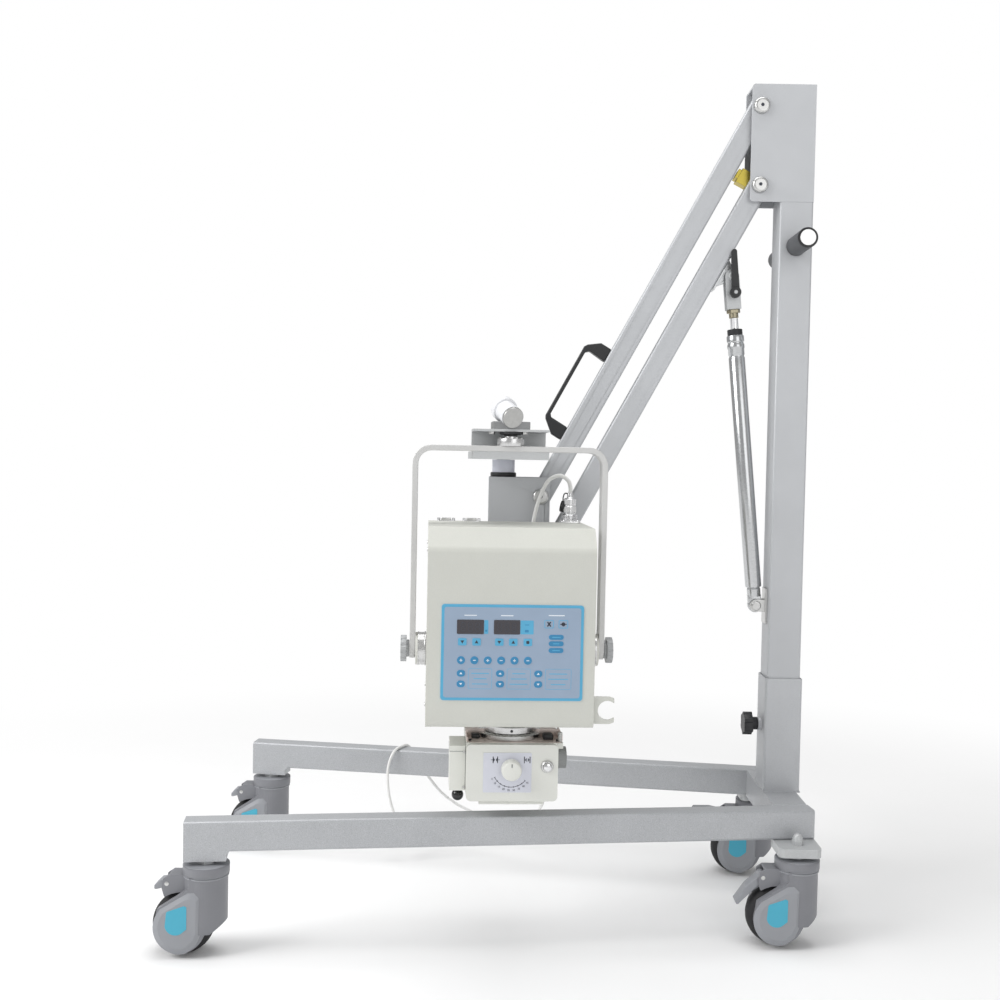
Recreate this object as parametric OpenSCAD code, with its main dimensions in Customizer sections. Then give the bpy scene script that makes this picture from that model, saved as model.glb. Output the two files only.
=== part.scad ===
// Mobile stand for a portable X-ray head. All sizes in millimetres, +Z up.
// The origin is on the floor, in the middle of the stand's footprint. The mast stands on the +X side.

/* [Base] */
// Distance from the origin to the mast's axis
mast_x = 517; // [400:1:650]
// Height of the leg tubes' top face
leg_top = 219; // [205:1:240]
// Height of a leg tube
leg_h = 50; // [45:1:52]
// Width of a leg tube
leg_w = 38; // [30:1:40]
// Wall of the leg and crossbeam tubes
leg_wall = 2.5; // [2:0.5:4]
// Rear end of a leg's outer face, along X from the mast
leg_rear_x = 33; // [30:1:36]
// Rear end of a leg's outer face, along Y
leg_rear_y = 147; // [140:1:160]
// Length of a leg
leg_len = 1059; // [900:1:1200]
// Angle by which each leg splays outward
leg_splay = 7.8; // [4:0.1:10]
// Length of the post that drops to a front caster
drop_len = 68; // [60:1:75]
// Height of the plane that the casters mount to
caster_plane = 154; // [150:1:160]
// Width of the crossbeam along X
beam_w = 60; // [50:1:62]

/* [Casters] */
// Wheel radius
wheel_r = 50; // [48:1:50]
// Wheel width
wheel_w = 36; // [30:1:36]
// Offset of the wheel behind the swivel axis
trail = 35; // [30:1:38]
// Front swivel axes, along X from the mast
front_axis_x = -984; // [-1100:1:-900]
// Front swivel axes, along Y
front_axis_y = 267; // [250:1:280]
// Rear swivel axes, along X from the mast
rear_axis_x = -3; // [-10:1:0]
// Rear swivel axes, along Y
rear_axis_y = 177; // [170:1:182]

/* [Mast] */
// Side of the inner mast tube
mast_w = 60; // [50:1:60]
// Side of the outer sleeve
sleeve_w = 67; // [60:1:70]
// Height of the sleeve's top edge
sleeve_top = 425; // [380:1:450]
// Height of the clamp knob
clamp_z = 336; // [320:1:360]
// Height of the mast's top
mast_top = 1489; // [1400:1:1600]
// Height where the arm bracket starts
bracket_z = 1281; // [1250:1:1290]
// Reach of the arm bracket towards the head, from the mast's axis
bracket_reach = 84; // [80:1:95]
// Height of the push bar
bar_z = 1202; // [1100:1:1230]
// Half length of the push bar
bar_half = 121; // [100:1:150]

/* [Arms] */
// Arm pivots, along X from the mast
pivot_x = -67; // [-70:1:-60]
// Height of the upper arm's pivot
upper_pivot_z = 1450; // [1440:1:1455]
// Distance between the two arms' pivots
arm_gap = 140; // [130:1:150]
// Distance between an arm's pivots
arm_len = 800; // [700:1:900]
// Angle of the arms below the horizontal, with the head at its lowest
arm_drop = 61.7; // [55:0.1:65]
// Side of the arm tubes
arm_w = 38; // [30:1:38]
// Radius of the arm bolts
bolt_r = 8; // [6:0.5:8]

/* [Head] */
// Offset of the head from the post's axis
head_offset = 180; // [175:1:200]
// Angle by which the head is turned in the stored pose
swing = 4; // [0:1:6]
// Width of the generator box
box_w = 271; // [250:1:272]
// Depth of the generator box
box_d = 210; // [190:1:212]
// Height of the box's bottom
box_z0 = 381; // [380:1:390]
// Height of the box's top
box_z1 = 702; // [690:1:705]
// Height of the tilt axis
tilt_z = 492; // [480:1:500]
// Outer width of the yoke
yoke_w = 327; // [326:1:340]
// Thickness of the yoke bar
yoke_t = 9.5; // [8:0.5:9.5]
// Depth of the yoke bar
yoke_d = 32; // [28:1:36]
// Top of the yoke bar
yoke_top = 834; // [830:1:840]

/* [Hidden] */
$fn = 48;
eps = 0.01;

// Radial clearance of a running fit.
run_gap = 0.05;
// Gap between neighbouring moving parts.
gap = 0.5;
leg_bottom = leg_top - leg_h;
lower_pivot_z = upper_pivot_z - arm_gap;
tip_x = pivot_x - arm_len * cos(arm_drop);
upper_tip_z = upper_pivot_z - arm_len * sin(arm_drop);
lower_tip_z = upper_tip_z - arm_gap;
sheet = 3;
cheek_y = mast_w / 2 - sheet;
sleeve_wall = (sleeve_w - mast_w) / 2 - gap;
bolt_head_r = 14.5;
bolt_head_h = 8;

// Axle radii of the casters and their pedals.
axle_r = 6;
pedal_pin_r = 3;
pedal_x = -60;
pedal_z = 116;
fork_y = wheel_w / 2 + 1.5;
stem_r = 10;

// Gas spring: its lower pivot, its upper pivot and what follows from them.
spring_x = -50;
spring_z = 554;
spring_top_x = -109;
spring_top_z = 1150;
spring_len = norm([spring_top_x - spring_x, spring_top_z - spring_z]);
spring_tilt = atan2(spring_x - spring_top_x, spring_top_z - spring_z);
spring_pin_r = 5;
tube_r = 14.5;
rod_r = 7.2;
collar_s = 504;
block_s = 540;
lever_s = 568;

// Head frame: the post's axis is its Z axis, and the head lies towards its -Y.
post_x = -515;
post_r = 20.5;
spigot_r = 12;
plate_z0 = 811.5;
plate_z1 = yoke_top - yoke_t;
wall_y = -124;
front_y = -head_offset - box_d / 2;
back_y = -head_offset + box_d / 2;
plate_half = 64;
flange_z = 858;
skin = 2;
boss_r = 27;
stud_r = 5;
col_x = 8;
col_w = 150;
col_z0 = 254;
col_z1 = 347;
col_front = -255;
head_lead_r = 3.5;
loose_lead_r = 2.75;

// Route of the lead that comes out of the socket on the box and goes down behind it (head frame).
head_route = [[112.5, -95, 755], [112.5, -95, 765], [108, -93, 777], [94, -86, 785], [76, -77, 776],
    [65, -70, 755], [57, -66, 730], [51, -66, 700], [44, -66, 640], [38, -66, 560], [36, -66, 500],
    [36, -66, 468], [36, -66, 452]];
// Route of the loose lead: from its gland, under the far leg, over its top and down (mast frame).
loose_route = [[-433, 160, 190], [-433, 152, 188], [-426, 144, 178], [-423, 142, 158], [-427, 152, 132],
    [-441, 176, 104], [-468, 206, 82], [-500, 232, 72], [-535, 248, 74], [-566, 255, 83], [-600, 260, 98],
    [-632, 262, 121], [-658, 261, 152], [-680, 260, 185], [-694, 257, 208], [-701, 251, 219],
    [-707, 241, 222.5], [-714, 226, 222.5], [-721, 212, 222], [-728, 203, 214], [-734, 198, 199],
    [-737, 195, 180], [-736, 194, 150], [-731, 192, 122], [-723, 190, 97], [-719, 189, 80]];

// ---- Shapes that repeat ----

// The mast frame: its origin is on the floor, on the mast's axis.
module at_mast() translate([mast_x, 0, 0]) children();

// The head frame: its origin is on the floor, on the post's axis.
module at_post() at_mast() translate([post_x, 0, 0]) rotate([0, 0, swing]) children();

// Along the gas spring: +Z from the lower pivot to the upper one.
module at_spring() at_mast() translate([spring_x, 0, spring_z]) rotate([0, -spring_tilt, 0]) children();

// A rectangle with round corners, centred.
module round_rect(w, h, r) {
    square([w - 2 * r, h], center = true);
    square([w, h - 2 * r], center = true);
    for (x = [-1, 1], y = [-1, 1]) translate([x * (w / 2 - r), y * (h / 2 - r)]) circle(r);
}

// The wall of a square or oblong tube, centred.
module tube_section(w, h, wall, r = 4) {
    difference() {
        round_rect(w, h, r);
        round_rect(w - 2 * wall, h - 2 * wall, max(r - wall, 0.5));
    }
}

// A rod along X, Y or Z from one end to the other.
module rod_x(r, x0, x1) translate([x0, 0, 0]) rotate([0, 90, 0]) cylinder(r = r, h = x1 - x0);
module rod_y(r, y0, y1) translate([0, y1, 0]) rotate([90, 0, 0]) cylinder(r = r, h = y1 - y0);
module rod_z(r, z0, z1) translate([0, 0, z0]) cylinder(r = r, h = z1 - z0);

// A box from one corner to the other.
module block(a, b) translate(a) cube(b - a);

// A side profile drawn in X and Z, extruded across Y.
module side(y0, y1) translate([0, y1, 0]) rotate([90, 0, 0]) linear_extrude(y1 - y0) children();

// A profile drawn in Y and Z, extruded across X.
module across(x0, x1) translate([x0, 0, 0]) rotate([90, 0, 90]) linear_extrude(x1 - x0) children();

function arc(c, r, a0, a1, n = 8) = [for (i = [0:n]) c + r * [cos(a0 + (a1 - a0) * i / n), sin(a0 + (a1 - a0) * i / n)]];

// A low domed bolt head, its foot at the origin and its crown towards -Y.
module bolt_head(r = bolt_head_r, h = bolt_head_h) rotate([90, 0, 0]) rotate_extrude()
    polygon(concat([[0, 0], [r, 0], [r, h * 0.35]], arc([r - h * 0.65, h * 0.35], h * 0.65, 0, 90, 6), [[0, h]]));

// A round tube swept along a route of points, as one closed surface.
function route_point(p, i) = p[max(0, min(len(p) - 1, i))];
function spline(p, i, t) = let (a = route_point(p, i - 1), b = route_point(p, i), c = route_point(p, i + 1), d = route_point(p, i + 2))
    0.5 * (2 * b + (c - a) * t + (2 * a - 5 * b + 4 * c - d) * t * t + (3 * b - a - 3 * c + d) * t * t * t);
function unit(v) = v / norm(v);
module sweep(route, r, steps = 2, sides = 10) {
    line = concat([for (i = [0:len(route) - 2], s = [0:steps - 1]) spline(route, i, s / steps)], [route[len(route) - 1]]);
    last = len(line) - 1;
    ring = [for (i = [0:last]) let (t = unit(line[min(last, i + 1)] - line[max(0, i - 1)]),
        u = unit(cross(t, [0.3, 0.9, 0.32])), v = cross(t, u))
        for (k = [0:sides - 1]) line[i] + r * (u * cos(360 * k / sides) + v * sin(360 * k / sides))];
    faces = concat([[for (k = [0:sides - 1]) k]],
        [for (i = [0:last - 1], k = [0:sides - 1]) [i * sides + k, (i + 1) * sides + k, (i + 1) * sides + (k + 1) % sides, i * sides + (k + 1) % sides]],
        [[for (k = [sides - 1:-1:0]) last * sides + k]]);
    polyhedron(ring, faces, convexity = 8);
}

// ---- Base ----

// The far leg's frame: its origin is at the outer face's rear end, +X runs to the front, +Y inward.
module at_leg() at_mast() translate([leg_rear_x, leg_rear_y, 0]) rotate([0, 0, 180 - leg_splay]) children();

module leg() {
    difference() {
        union() {
            translate([0, leg_w / 2, leg_top - leg_h / 2]) rotate([90, 0, 90]) linear_extrude(leg_len) round_rect(leg_w, leg_h, 4);
            side(0, leg_w) polygon(concat([[leg_len, leg_bottom + 8], [leg_len, caster_plane], [leg_len - drop_len, caster_plane]],
                [[leg_len - drop_len, leg_bottom - 4], [leg_len - drop_len - 5, leg_bottom + eps], [leg_len - drop_len - 5, leg_bottom + 8]]));
        }
        translate([3, leg_w / 2, leg_top - leg_h / 2]) rotate([90, 0, 90]) linear_extrude(leg_len - drop_len - 12)
            round_rect(leg_w - 2 * leg_wall, leg_h - 2 * leg_wall, 2);
    }
}

module leg_far() color("silver") difference() {
    at_leg() leg();
    at_mast() translate([front_axis_x, front_axis_y, 0]) rod_z(6.2, caster_plane - 1, caster_plane + 30);
}

module leg_near() mirror([0, 1, 0]) leg_far();

// The crossbeam's ends follow the splayed legs.
module crossbeam() color("silver") at_mast() {
    x0 = -beam_w / 2 - 3;
    x1 = beam_w / 2 - 3;
    end_y = function (x) leg_rear_y + (leg_rear_x - x) * tan(leg_splay) - leg_w / cos(leg_splay);
    difference() {
        translate([0, 0, leg_bottom]) linear_extrude(leg_h)
            polygon([[x0, -end_y(x0)], [x1, -end_y(x1)], [x1, end_y(x1)], [x0, end_y(x0)]]);
        side(-200, 200) translate([-3, leg_top - leg_h / 2]) square([beam_w - 2 * leg_wall, leg_h - 2 * leg_wall], center = true);
    }
}

module mast_sleeve() color("silver") at_mast() difference() {
    union() {
        translate([0, 0, leg_top]) linear_extrude(sleeve_top - leg_top) tube_section(sleeve_w, sleeve_w, sleeve_wall, 5);
        translate([0, 0, clamp_z]) rod_x(12, -sleeve_w / 2 - 6, -sleeve_w / 2 + eps);
    }
    translate([0, 0, clamp_z]) rod_x(5 + run_gap, -sleeve_w / 2 - 10, -sleeve_w / 2 + sleeve_wall + 1);
}

// A hexagonal stem with its swivel pin below and its thread above.
module caster_stem(thread) {
    rotate([0, 0, 30]) translate([0, 0, caster_plane - 8]) cylinder(r = 15, h = 8, $fn = 6);
    rod_z(stem_r, 98, caster_plane - 8 + eps);
    rod_z(6, caster_plane - eps, caster_plane + thread);
}

module caster_mounts() color("gainsboro") at_mast() for (s = [-1, 1]) {
    translate([front_axis_x, s * front_axis_y, 0]) caster_stem(25);
    translate([rear_axis_x, s * rear_axis_y, 0]) {
        caster_stem(22);
        translate([0, s * -9.5, caster_plane]) linear_extrude(leg_bottom - caster_plane) difference() {
            round_rect(72, 75, 11);
            translate([0, s * 9.5]) circle(6);
        }
        translate([0, 0, leg_bottom]) difference() {
            union() {
                cylinder(r = 10, h = 8, $fn = 6);
                rod_z(8.5, 8 - eps, 11);
                translate([0, 0, 11]) scale(0.95) sphere(8.5);
            }
            rod_z(6, -1, 7);
        }
    }
}

module lead_gland() color("whitesmoke") at_leg() translate([463, leg_w, 190]) {
    rod_y(10, 0, 6);
    rod_y(7.5, 5.9, 12);
}

module mast_clamp() color("dimgray") at_mast() translate([0, 0, clamp_z]) {
    rod_x(5, -50, -mast_w / 2 - gap);
    rod_x(11.5, -50, -sleeve_w / 2 - 6 - gap);
    translate([-66, 0, 0]) rotate([0, 90, 0]) linear_extrude(16) {
        circle(18);
        for (a = [0:60:300]) rotate(a) translate([15.5, 0]) circle(5.5);
    }
}

// ---- Casters: drawn about the swivel axis, with the wheel towards -X ----

module caster_cheek() {
    translate([-trail, wheel_r]) circle(41);
    polygon([[-trail + 8, 10], [0, 28], [8, 44], [8, 131], [-20, 131], [-20, 114], [-71, 80], [-76, wheel_r], [-trail, wheel_r]]);
}

module caster_fork() color("slategray") difference() {
    union() {
        intersection() {
            rod_z(35, 40, 133);
            side(-40, 40) polygon([[-36, 40], [14, 40], [36, 56], [36, 133], [-36, 133]]);
        }
        rod_z(37.5, 132, caster_plane - 8);
        side(-33, 33) caster_cheek();
        side(-17, 17) polygon([[0, 95], [pedal_x - 4, 95], [pedal_x - 8, 108], [pedal_x - 6, 124], [pedal_x + 4, 131], [0, 131]]);
    }
    translate([-trail, 0, wheel_r]) rod_y(wheel_r + 2.5, -fork_y, fork_y);
    block([-120, -fork_y, -10], [-trail, fork_y, 84]);
    translate([pedal_x, 0, pedal_z]) rod_y(13.5, -12.5, 12.5);
    block([pedal_x - 20, -12.5, 90], [pedal_x, 12.5, 140]);
    rod_z(stem_r + run_gap, 97.5, 160);
}

module caster_pins() {
    translate([-trail, 0, wheel_r]) rod_y(axle_r, -fork_y - 4, fork_y + 4);
    translate([pedal_x, 0, pedal_z]) rod_y(pedal_pin_r, -14, 14);
}

module caster_body() color("slategray") {
    caster_fork();
    caster_pins();
}

module caster_wheel() color("black") translate([-trail, 0, wheel_r]) rotate([90, 0, 0]) rotate_extrude($fn = 72)
    polygon(concat([[axle_r + run_gap, -wheel_w / 2], [38, -wheel_w / 2], [39, -wheel_w / 2 + 3]],
        arc([wheel_r - 8, -wheel_w / 2 + 11], 8, -60, 0, 5), arc([wheel_r - 8, wheel_w / 2 - 11], 8, 0, 60, 5),
        [[39, wheel_w / 2 - 3], [38, wheel_w / 2], [axle_r + run_gap, wheel_w / 2]]));

// A brake pedal; its tread is long on the rear casters and short on the front ones.
module caster_pedal(tread, drop) color("darkgray") translate([pedal_x, 0, pedal_z]) difference() {
    rotate([0, drop, 0]) union() {
        rod_y(7, -12, 12);
        side(-12, 12) polygon([[0, 6], [-tread * 0.5, 8], [-tread, 3], [-tread - 2, -2], [-tread, -4], [-14, -5], [0, -6]]);
    }
    rod_y(pedal_pin_r + run_gap, -15, 15);
}

module at_caster(front, s) at_mast() translate(front ? [front_axis_x, s * front_axis_y, 0] : [rear_axis_x, s * rear_axis_y, 0]) children();

module caster_fork_front_near() at_caster(true, -1) caster_body();
module caster_fork_front_far() at_caster(true, 1) caster_body();
module caster_fork_rear_near() at_caster(false, -1) caster_body();
module caster_fork_rear_far() at_caster(false, 1) caster_body();
module caster_wheel_front_near() at_caster(true, -1) caster_wheel();
module caster_wheel_front_far() at_caster(true, 1) caster_wheel();
module caster_wheel_rear_near() at_caster(false, -1) caster_wheel();
module caster_wheel_rear_far() at_caster(false, 1) caster_wheel();
module caster_pedal_front_near() at_caster(true, -1) caster_pedal(22, -20);
module caster_pedal_front_far() at_caster(true, 1) caster_pedal(22, -20);
module caster_pedal_rear_near() at_caster(false, -1) caster_pedal(62, -46);
module caster_pedal_rear_far() at_caster(false, 1) caster_pedal(62, 8);

// ---- Mast ----

module mast_tube() color("silver") at_mast() difference() {
    translate([0, 0, leg_top + gap]) linear_extrude(bracket_z - leg_top - gap) tube_section(mast_w, mast_w, sheet);
    translate([0, 0, bar_z]) rod_y(8, -mast_w, mast_w);
}

// A channel that carries both arm pivots between its cheeks.
module arm_bracket() color("silver") at_mast() difference() {
    union() {
        for (s = [0, 1]) mirror([0, s, 0]) side(cheek_y, mast_w / 2) bracket_outline();
        block([-mast_w / 2, -cheek_y, bracket_z], [mast_w / 2, cheek_y, bracket_z + sheet]);
        block([-bracket_reach + 3, -cheek_y, mast_top - sheet], [mast_w / 2, cheek_y, mast_top]);
        block([mast_w / 2 - sheet, -cheek_y, bracket_z], [mast_w / 2, cheek_y, mast_top]);
        block([-mast_w / 2, -cheek_y, bracket_z], [-mast_w / 2 + sheet, cheek_y, mast_top]);
    }
    for (z = [upper_pivot_z, lower_pivot_z]) translate([pivot_x, 0, z]) rod_y(bolt_r, -mast_w, mast_w);
}

module bracket_outline() {
    r = 6;
    polygon(concat([[mast_w / 2, mast_top], [mast_w / 2, bracket_z]], arc([-bracket_reach + r, bracket_z + r], r, 270, 180, 5),
        arc([-bracket_reach + r, mast_top - r], r, 180, 90, 5)));
}

module push_bar() color("lightgray") at_mast() translate([0, 0, bar_z]) {
    rod_y(8, -bar_half + 3, bar_half - 3);
    for (s = [0, 1]) mirror([0, s, 0]) rod_y(13.5, bar_half - 3, bar_half);
}

module push_grips() color("dimgray") at_mast() translate([0, 0, bar_z]) for (s = [0, 1]) mirror([0, s, 0]) difference() {
    rod_y(17.5, mast_w / 2 + 2, bar_half - 1);
    rod_y(8, mast_w / 2 + 1, bar_half - 3 + eps);
    rod_y(13.5, bar_half - 3, bar_half);
}

// A through bolt with a domed head, two spacers and a domed nut.
module pivot_bolt(half) {
    rod_y(bolt_r, -half, half);
    for (s = [0, 1]) mirror([0, s, 0]) {
        translate([0, -half, 0]) bolt_head();
        difference() {
            rod_y(12, arm_w / 2 + gap, cheek_y);
            rod_y(bolt_r - 1, 0, half);
        }
    }
}

module bracket_bolts() color("gainsboro") at_mast()
    for (z = [upper_pivot_z, lower_pivot_z]) translate([pivot_x, 0, z]) pivot_bolt(mast_w / 2);

// The clevis on the mast that holds the gas spring's lower eye.
module spring_foot() color("lightgray") at_mast() {
    block([-mast_w / 2 - 4, -15, spring_z - 32], [-mast_w / 2, 15, spring_z + 32]);
    for (s = [0, 1]) mirror([0, s, 0]) side(6.5, 11.5) {
        translate([spring_x, spring_z]) circle(11);
        translate([spring_x, spring_z - 11]) square([-mast_w / 2 - spring_x - 3, 22]);
    }
    translate([spring_x, 0, spring_z]) {
        rod_y(spring_pin_r, -15, 15);
        for (s = [0, 1]) mirror([0, s, 0]) translate([0, -11.5, 0]) bolt_head(9, 5);
    }
}

// ---- Arms: drawn with +X from the mast pivot to the head pivot, and +Z to the upper side ----

module at_arm(z) at_mast() translate([pivot_x, 0, z]) rotate([0, 180 - arm_drop, 0]) mirror([0, 0, 1]) children();

module arm_tube(head_r) difference() {
    translate([-arm_w / 2, 0, 0]) rotate([90, 0, 90]) linear_extrude(arm_len + arm_w) tube_section(arm_w, arm_w, leg_wall);
    rod_y(bolt_r + 4 - eps, -arm_w, arm_w);
    translate([arm_len, 0, 0]) rod_y(bolt_r + 4 - eps, -arm_w, arm_w);
}

// The bearing sleeve that an arm turns on, through both of its walls.
module arm_bearing(r) difference() {
    rod_y(bolt_r + 4, -arm_w / 2, arm_w / 2);
    rod_y(r, -arm_w, arm_w);
}

module lower_arm() color("silver") at_arm(lower_pivot_z) {
    arm_tube();
    for (x = [0, arm_len]) translate([x, 0, 0]) arm_bearing(bolt_r + run_gap);
}

module upper_arm() color("silver") at_arm(upper_pivot_z) {
    arm_tube();
    arm_bearing(bolt_r + run_gap);
    translate([arm_len, 0, 0]) arm_bearing(bolt_r + gap);
}

// The gas spring's lug under the lower arm, and the stop between the arms.
module arm_fittings() color("goldenrod") {
    at_arm(lower_pivot_z) {
        lug = spring_in_arm();
        difference() {
            side(-4, 4) {
                translate(lug) circle(10);
                polygon([lug + [10, 0], lug + [-7, -7], [lug.x - 26, -arm_w / 2], [lug.x + 34, -arm_w / 2]]);
            }
            translate([lug.x, 0, lug.y]) rod_y(spring_pin_r + gap, -5, 5);
        }
        block([lug.x - 4, -15, -arm_w / 2 - 4], [lug.x + 38, 15, -arm_w / 2]);
        block([lug.x - 30, -15, -arm_w / 2 - 1.5], [lug.x - 3, 15, -arm_w / 2]);
        block([-17, -12, arm_w / 2], [10, 12, arm_w / 2 + 21]);
        block([-12, -15, arm_w / 2 + 21], [5, 15, arm_w / 2 + 26.5]);
    }
}

// The gas spring's upper pivot in the lower arm's frame.
function spring_in_arm() = let (dx = spring_top_x - pivot_x, dz = spring_top_z - lower_pivot_z)
    [-dx * cos(arm_drop) - dz * sin(arm_drop), -dx * sin(arm_drop) + dz * cos(arm_drop)];

module arm_handle() color("black") at_arm(upper_pivot_z) translate([0, 0, arm_w / 2]) side(-11, 11) handle_outline();

module handle_outline() difference() {
    polygon([[505, 0], [504, 22], [518, 42], [524, 46], [666, 46], [672, 43], [692, 20], [693, 0]]);
    polygon([[531, -1], [527, 33], [532, 39], [660, 39], [665, 35], [667, -1]]);
}

// ---- Gas spring ----

module gas_cylinder() color("gainsboro") at_spring() difference() {
    union() {
        rod_y(13, -6, 6);
        block([-12, -6, 0], [12, 6, 17]);
        rod_z(12, 16, 34);
        rod_z(tube_r, 33, 470);
        rod_z(tube_r + 1, 469, 493);
        rod_z(13.5, 492, collar_s);
    }
    rod_y(spring_pin_r + run_gap, -7, 7);
    rod_z(12.2, 40, 488);
    rod_z(rod_r + run_gap, 480, collar_s + 1);
}

module gas_rod() color("lightgray") at_spring() {
    rod_z(rod_r, 150, 534);
    rod_z(12.1, 150, 165);
    translate([0, 0, 533]) cylinder(r = 11.5, h = 7, $fn = 6);
}

// The block that carries the release lever and forks around the arm's lug.
module release_block() color("gray") at_spring() difference() {
    union() {
        block([-12.5, -14, block_s], [12.5, 14, spring_len]);
        translate([0, 0, spring_len]) rod_y(12.5, -14, 14);
        translate([0, 0, spring_len]) for (s = [0, 1]) mirror([0, s, 0]) translate([0, -14, 0]) bolt_head(7, 4);
        translate([1.5, 0, lever_s]) rod_y(4, -29, -13);
        translate([1.5, -27.5, lever_s]) bolt_head(6, 3);
    }
    block([-20, -5, block_s + 24], [20, 5, spring_len + 20]);
}

module release_lever() color("black") at_spring() translate([1.5, 0, lever_s]) difference() {
    side(-27, -21) {
        circle(9);
        polygon([[-6.5, 0], [-2, 74], [1, 77], [6, 77], [8, 74], [7.5, 0]]);
    }
    rod_y(4 + run_gap, -40, 0);
}

// ---- Head bracket ----

module head_bracket() color("silver") at_mast() difference() {
    union() {
        for (s = [0, 1]) mirror([0, s, 0]) block([-541, cheek_y, 570], [-430, mast_w / 2, 780]);
        block([-541, -cheek_y, 570], [-541 + sheet, cheek_y, 780]);
        block([-541, -cheek_y, 780 - sheet], [-478, cheek_y, 780]);
        block([-541, -cheek_y, 570], [-480, cheek_y, 570 + sheet]);
    }
    for (z = [upper_tip_z, lower_tip_z]) translate([tip_x, 0, z]) rod_y(bolt_r, -mast_w, mast_w);
}

module head_post() color("whitesmoke") at_post() {
    rod_z(post_r, 780, plate_z0 - gap);
    rod_z(spigot_r, plate_z0 - gap - eps, plate_z1 + 16);
}

module post_seal() color("black") at_post() difference() {
    rod_z(post_r + 3, 780, 788);
    rod_z(post_r, 779, 789);
}

module head_bolts() color("gainsboro") at_mast()
    for (z = [upper_tip_z, lower_tip_z]) translate([tip_x, 0, z]) pivot_bolt(mast_w / 2);

// ---- Swivel bracket and yoke ----

// The direction of the lock's axis: turned towards +X and leaning down to the front.
module at_lock() at_post() translate([-1, -196, 884]) rotate([0, 0, 18]) rotate([20, 0, 0]) children();

module swivel_bracket() color("silver") difference() {
    at_post() union() {
        block([-plate_half, -195, plate_z0], [plate_half, 32, plate_z1]);
        block([-plate_half, wall_y - 4, plate_z1 - eps], [plate_half, wall_y, flange_z + eps]);
        block([-plate_half, -195, flange_z], [plate_half, wall_y, flange_z + 4]);
        block([-31, -194, flange_z + 4 - eps], [31, -132, flange_z + 17]);
        difference() {
            translate([0, 0, plate_z1 + 2]) cylinder(r = 20, h = 12, $fn = 6);
            rod_z(spigot_r + gap, plate_z1, plate_z1 + 20);
        }
        difference() {
            rod_z(22, plate_z1 - eps, plate_z1 + 2 + eps);
            rod_z(spigot_r + gap, plate_z1 - 1, plate_z1 + 20);
        }
    }
    at_post() rod_z(spigot_r + run_gap, plate_z0 - 1, plate_z1 + 1);
    at_lock() rod_y(20, -20, 100);
    at_lock() rod_y(20 + gap, 28, 48);
}

module yoke() color("lightgray") at_post() difference() {
    intersection() {
        translate([0, -head_offset, 0]) union() {
            side(-yoke_d / 2, yoke_d / 2) difference() {
                yoke_outline(yoke_w / 2, yoke_top, 32);
                yoke_outline(yoke_w / 2 - yoke_t, yoke_top - yoke_t, 32 - yoke_t);
            }
            translate([0, 0, tilt_z]) for (s = [0, 1]) mirror([s, 0, 0]) rod_x(yoke_d / 2, yoke_w / 2 - yoke_t, yoke_w / 2);
        }
        block([-200, -300, tilt_z - 100], [200, 0, 900]);
    }
    translate([0, -head_offset, tilt_z]) rod_x(stud_r + 1, -200, 200);
}

// The yoke's outline above its tilt axis, with two round upper corners.
module yoke_outline(half, top, r) polygon(concat([[half, tilt_z]], arc([half - r, top - r], r, 0, 90), arc([-half + r, top - r], r, 90, 180), [[-half, tilt_z]]));

module bearing_ring() color("silver") at_post() translate([0, -head_offset, 0]) {
    rod_z(23, yoke_top, yoke_top + 12);
    rod_z(11, yoke_top + 12 - eps, flange_z);
    for (a = [0:60:300]) rotate(a) translate([17, 0, yoke_top + 12]) sphere(3);
}

module swivel_lock() color("whitesmoke") at_lock() {
    rod_y(19, -18, 29);
    rod_y(20, 30, 46);
    rod_y(14, 28, 31);
}

// A tilt knob: a fluted disc, and the stud that passes through the yoke into the head.
module tilt_knob() translate([0, -head_offset, tilt_z]) {
    rod_x(stud_r, yoke_w / 2 - yoke_t - 15, yoke_w / 2 + 3);
    rod_x(14, yoke_w / 2 + gap, yoke_w / 2 + 4);
    translate([yoke_w / 2 + 3, 0, 0]) rotate([0, 90, 0]) linear_extrude(12) difference() {
        circle(22);
        for (a = [0:30:330]) rotate(a) translate([23.2, 0]) circle(3);
    }
}

module tilt_knob_left() color("gray") at_post() mirror([1, 0, 0]) tilt_knob();
module tilt_knob_right() color("gray") at_post() tilt_knob();

// ---- Generator box ----

// The box's side profile in Y and Z, drawn d inside its outer face.
module box_profile(d) {
    r_top = 18;
    r_low = 9;
    front = front_y + d;
    back = back_y - d;
    low = box_z0 + d;
    bevel = 40;
    bend = [front_y + r_top, box_z1 - 41];
    bevel_low = bend + (r_top - d) * [-cos(bevel), sin(bevel)];
    bevel_top = bevel_low + (box_z1 - d - bevel_low.y) * [tan(bevel), 1];
    polygon(concat([[back, low], [back, box_z1 - d], bevel_top],
        arc(bend, r_top - d, 180 - bevel, 180), arc([front + r_low - d, low + r_low - d], r_low - d, 180, 270)));
}

module front_cover() color("beige") at_post() difference() {
    across(-box_w / 2, box_w / 2) difference() {
        box_profile(0);
        box_profile(skin);
    }
    block([-box_w, back_y - skin, box_z0 + skin], [box_w, back_y + 1, box_z1 - skin]);
    translate([col_x, -head_offset, 0]) rod_z(46, box_z0 - 1, box_z0 + skin + 1);
}

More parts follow.
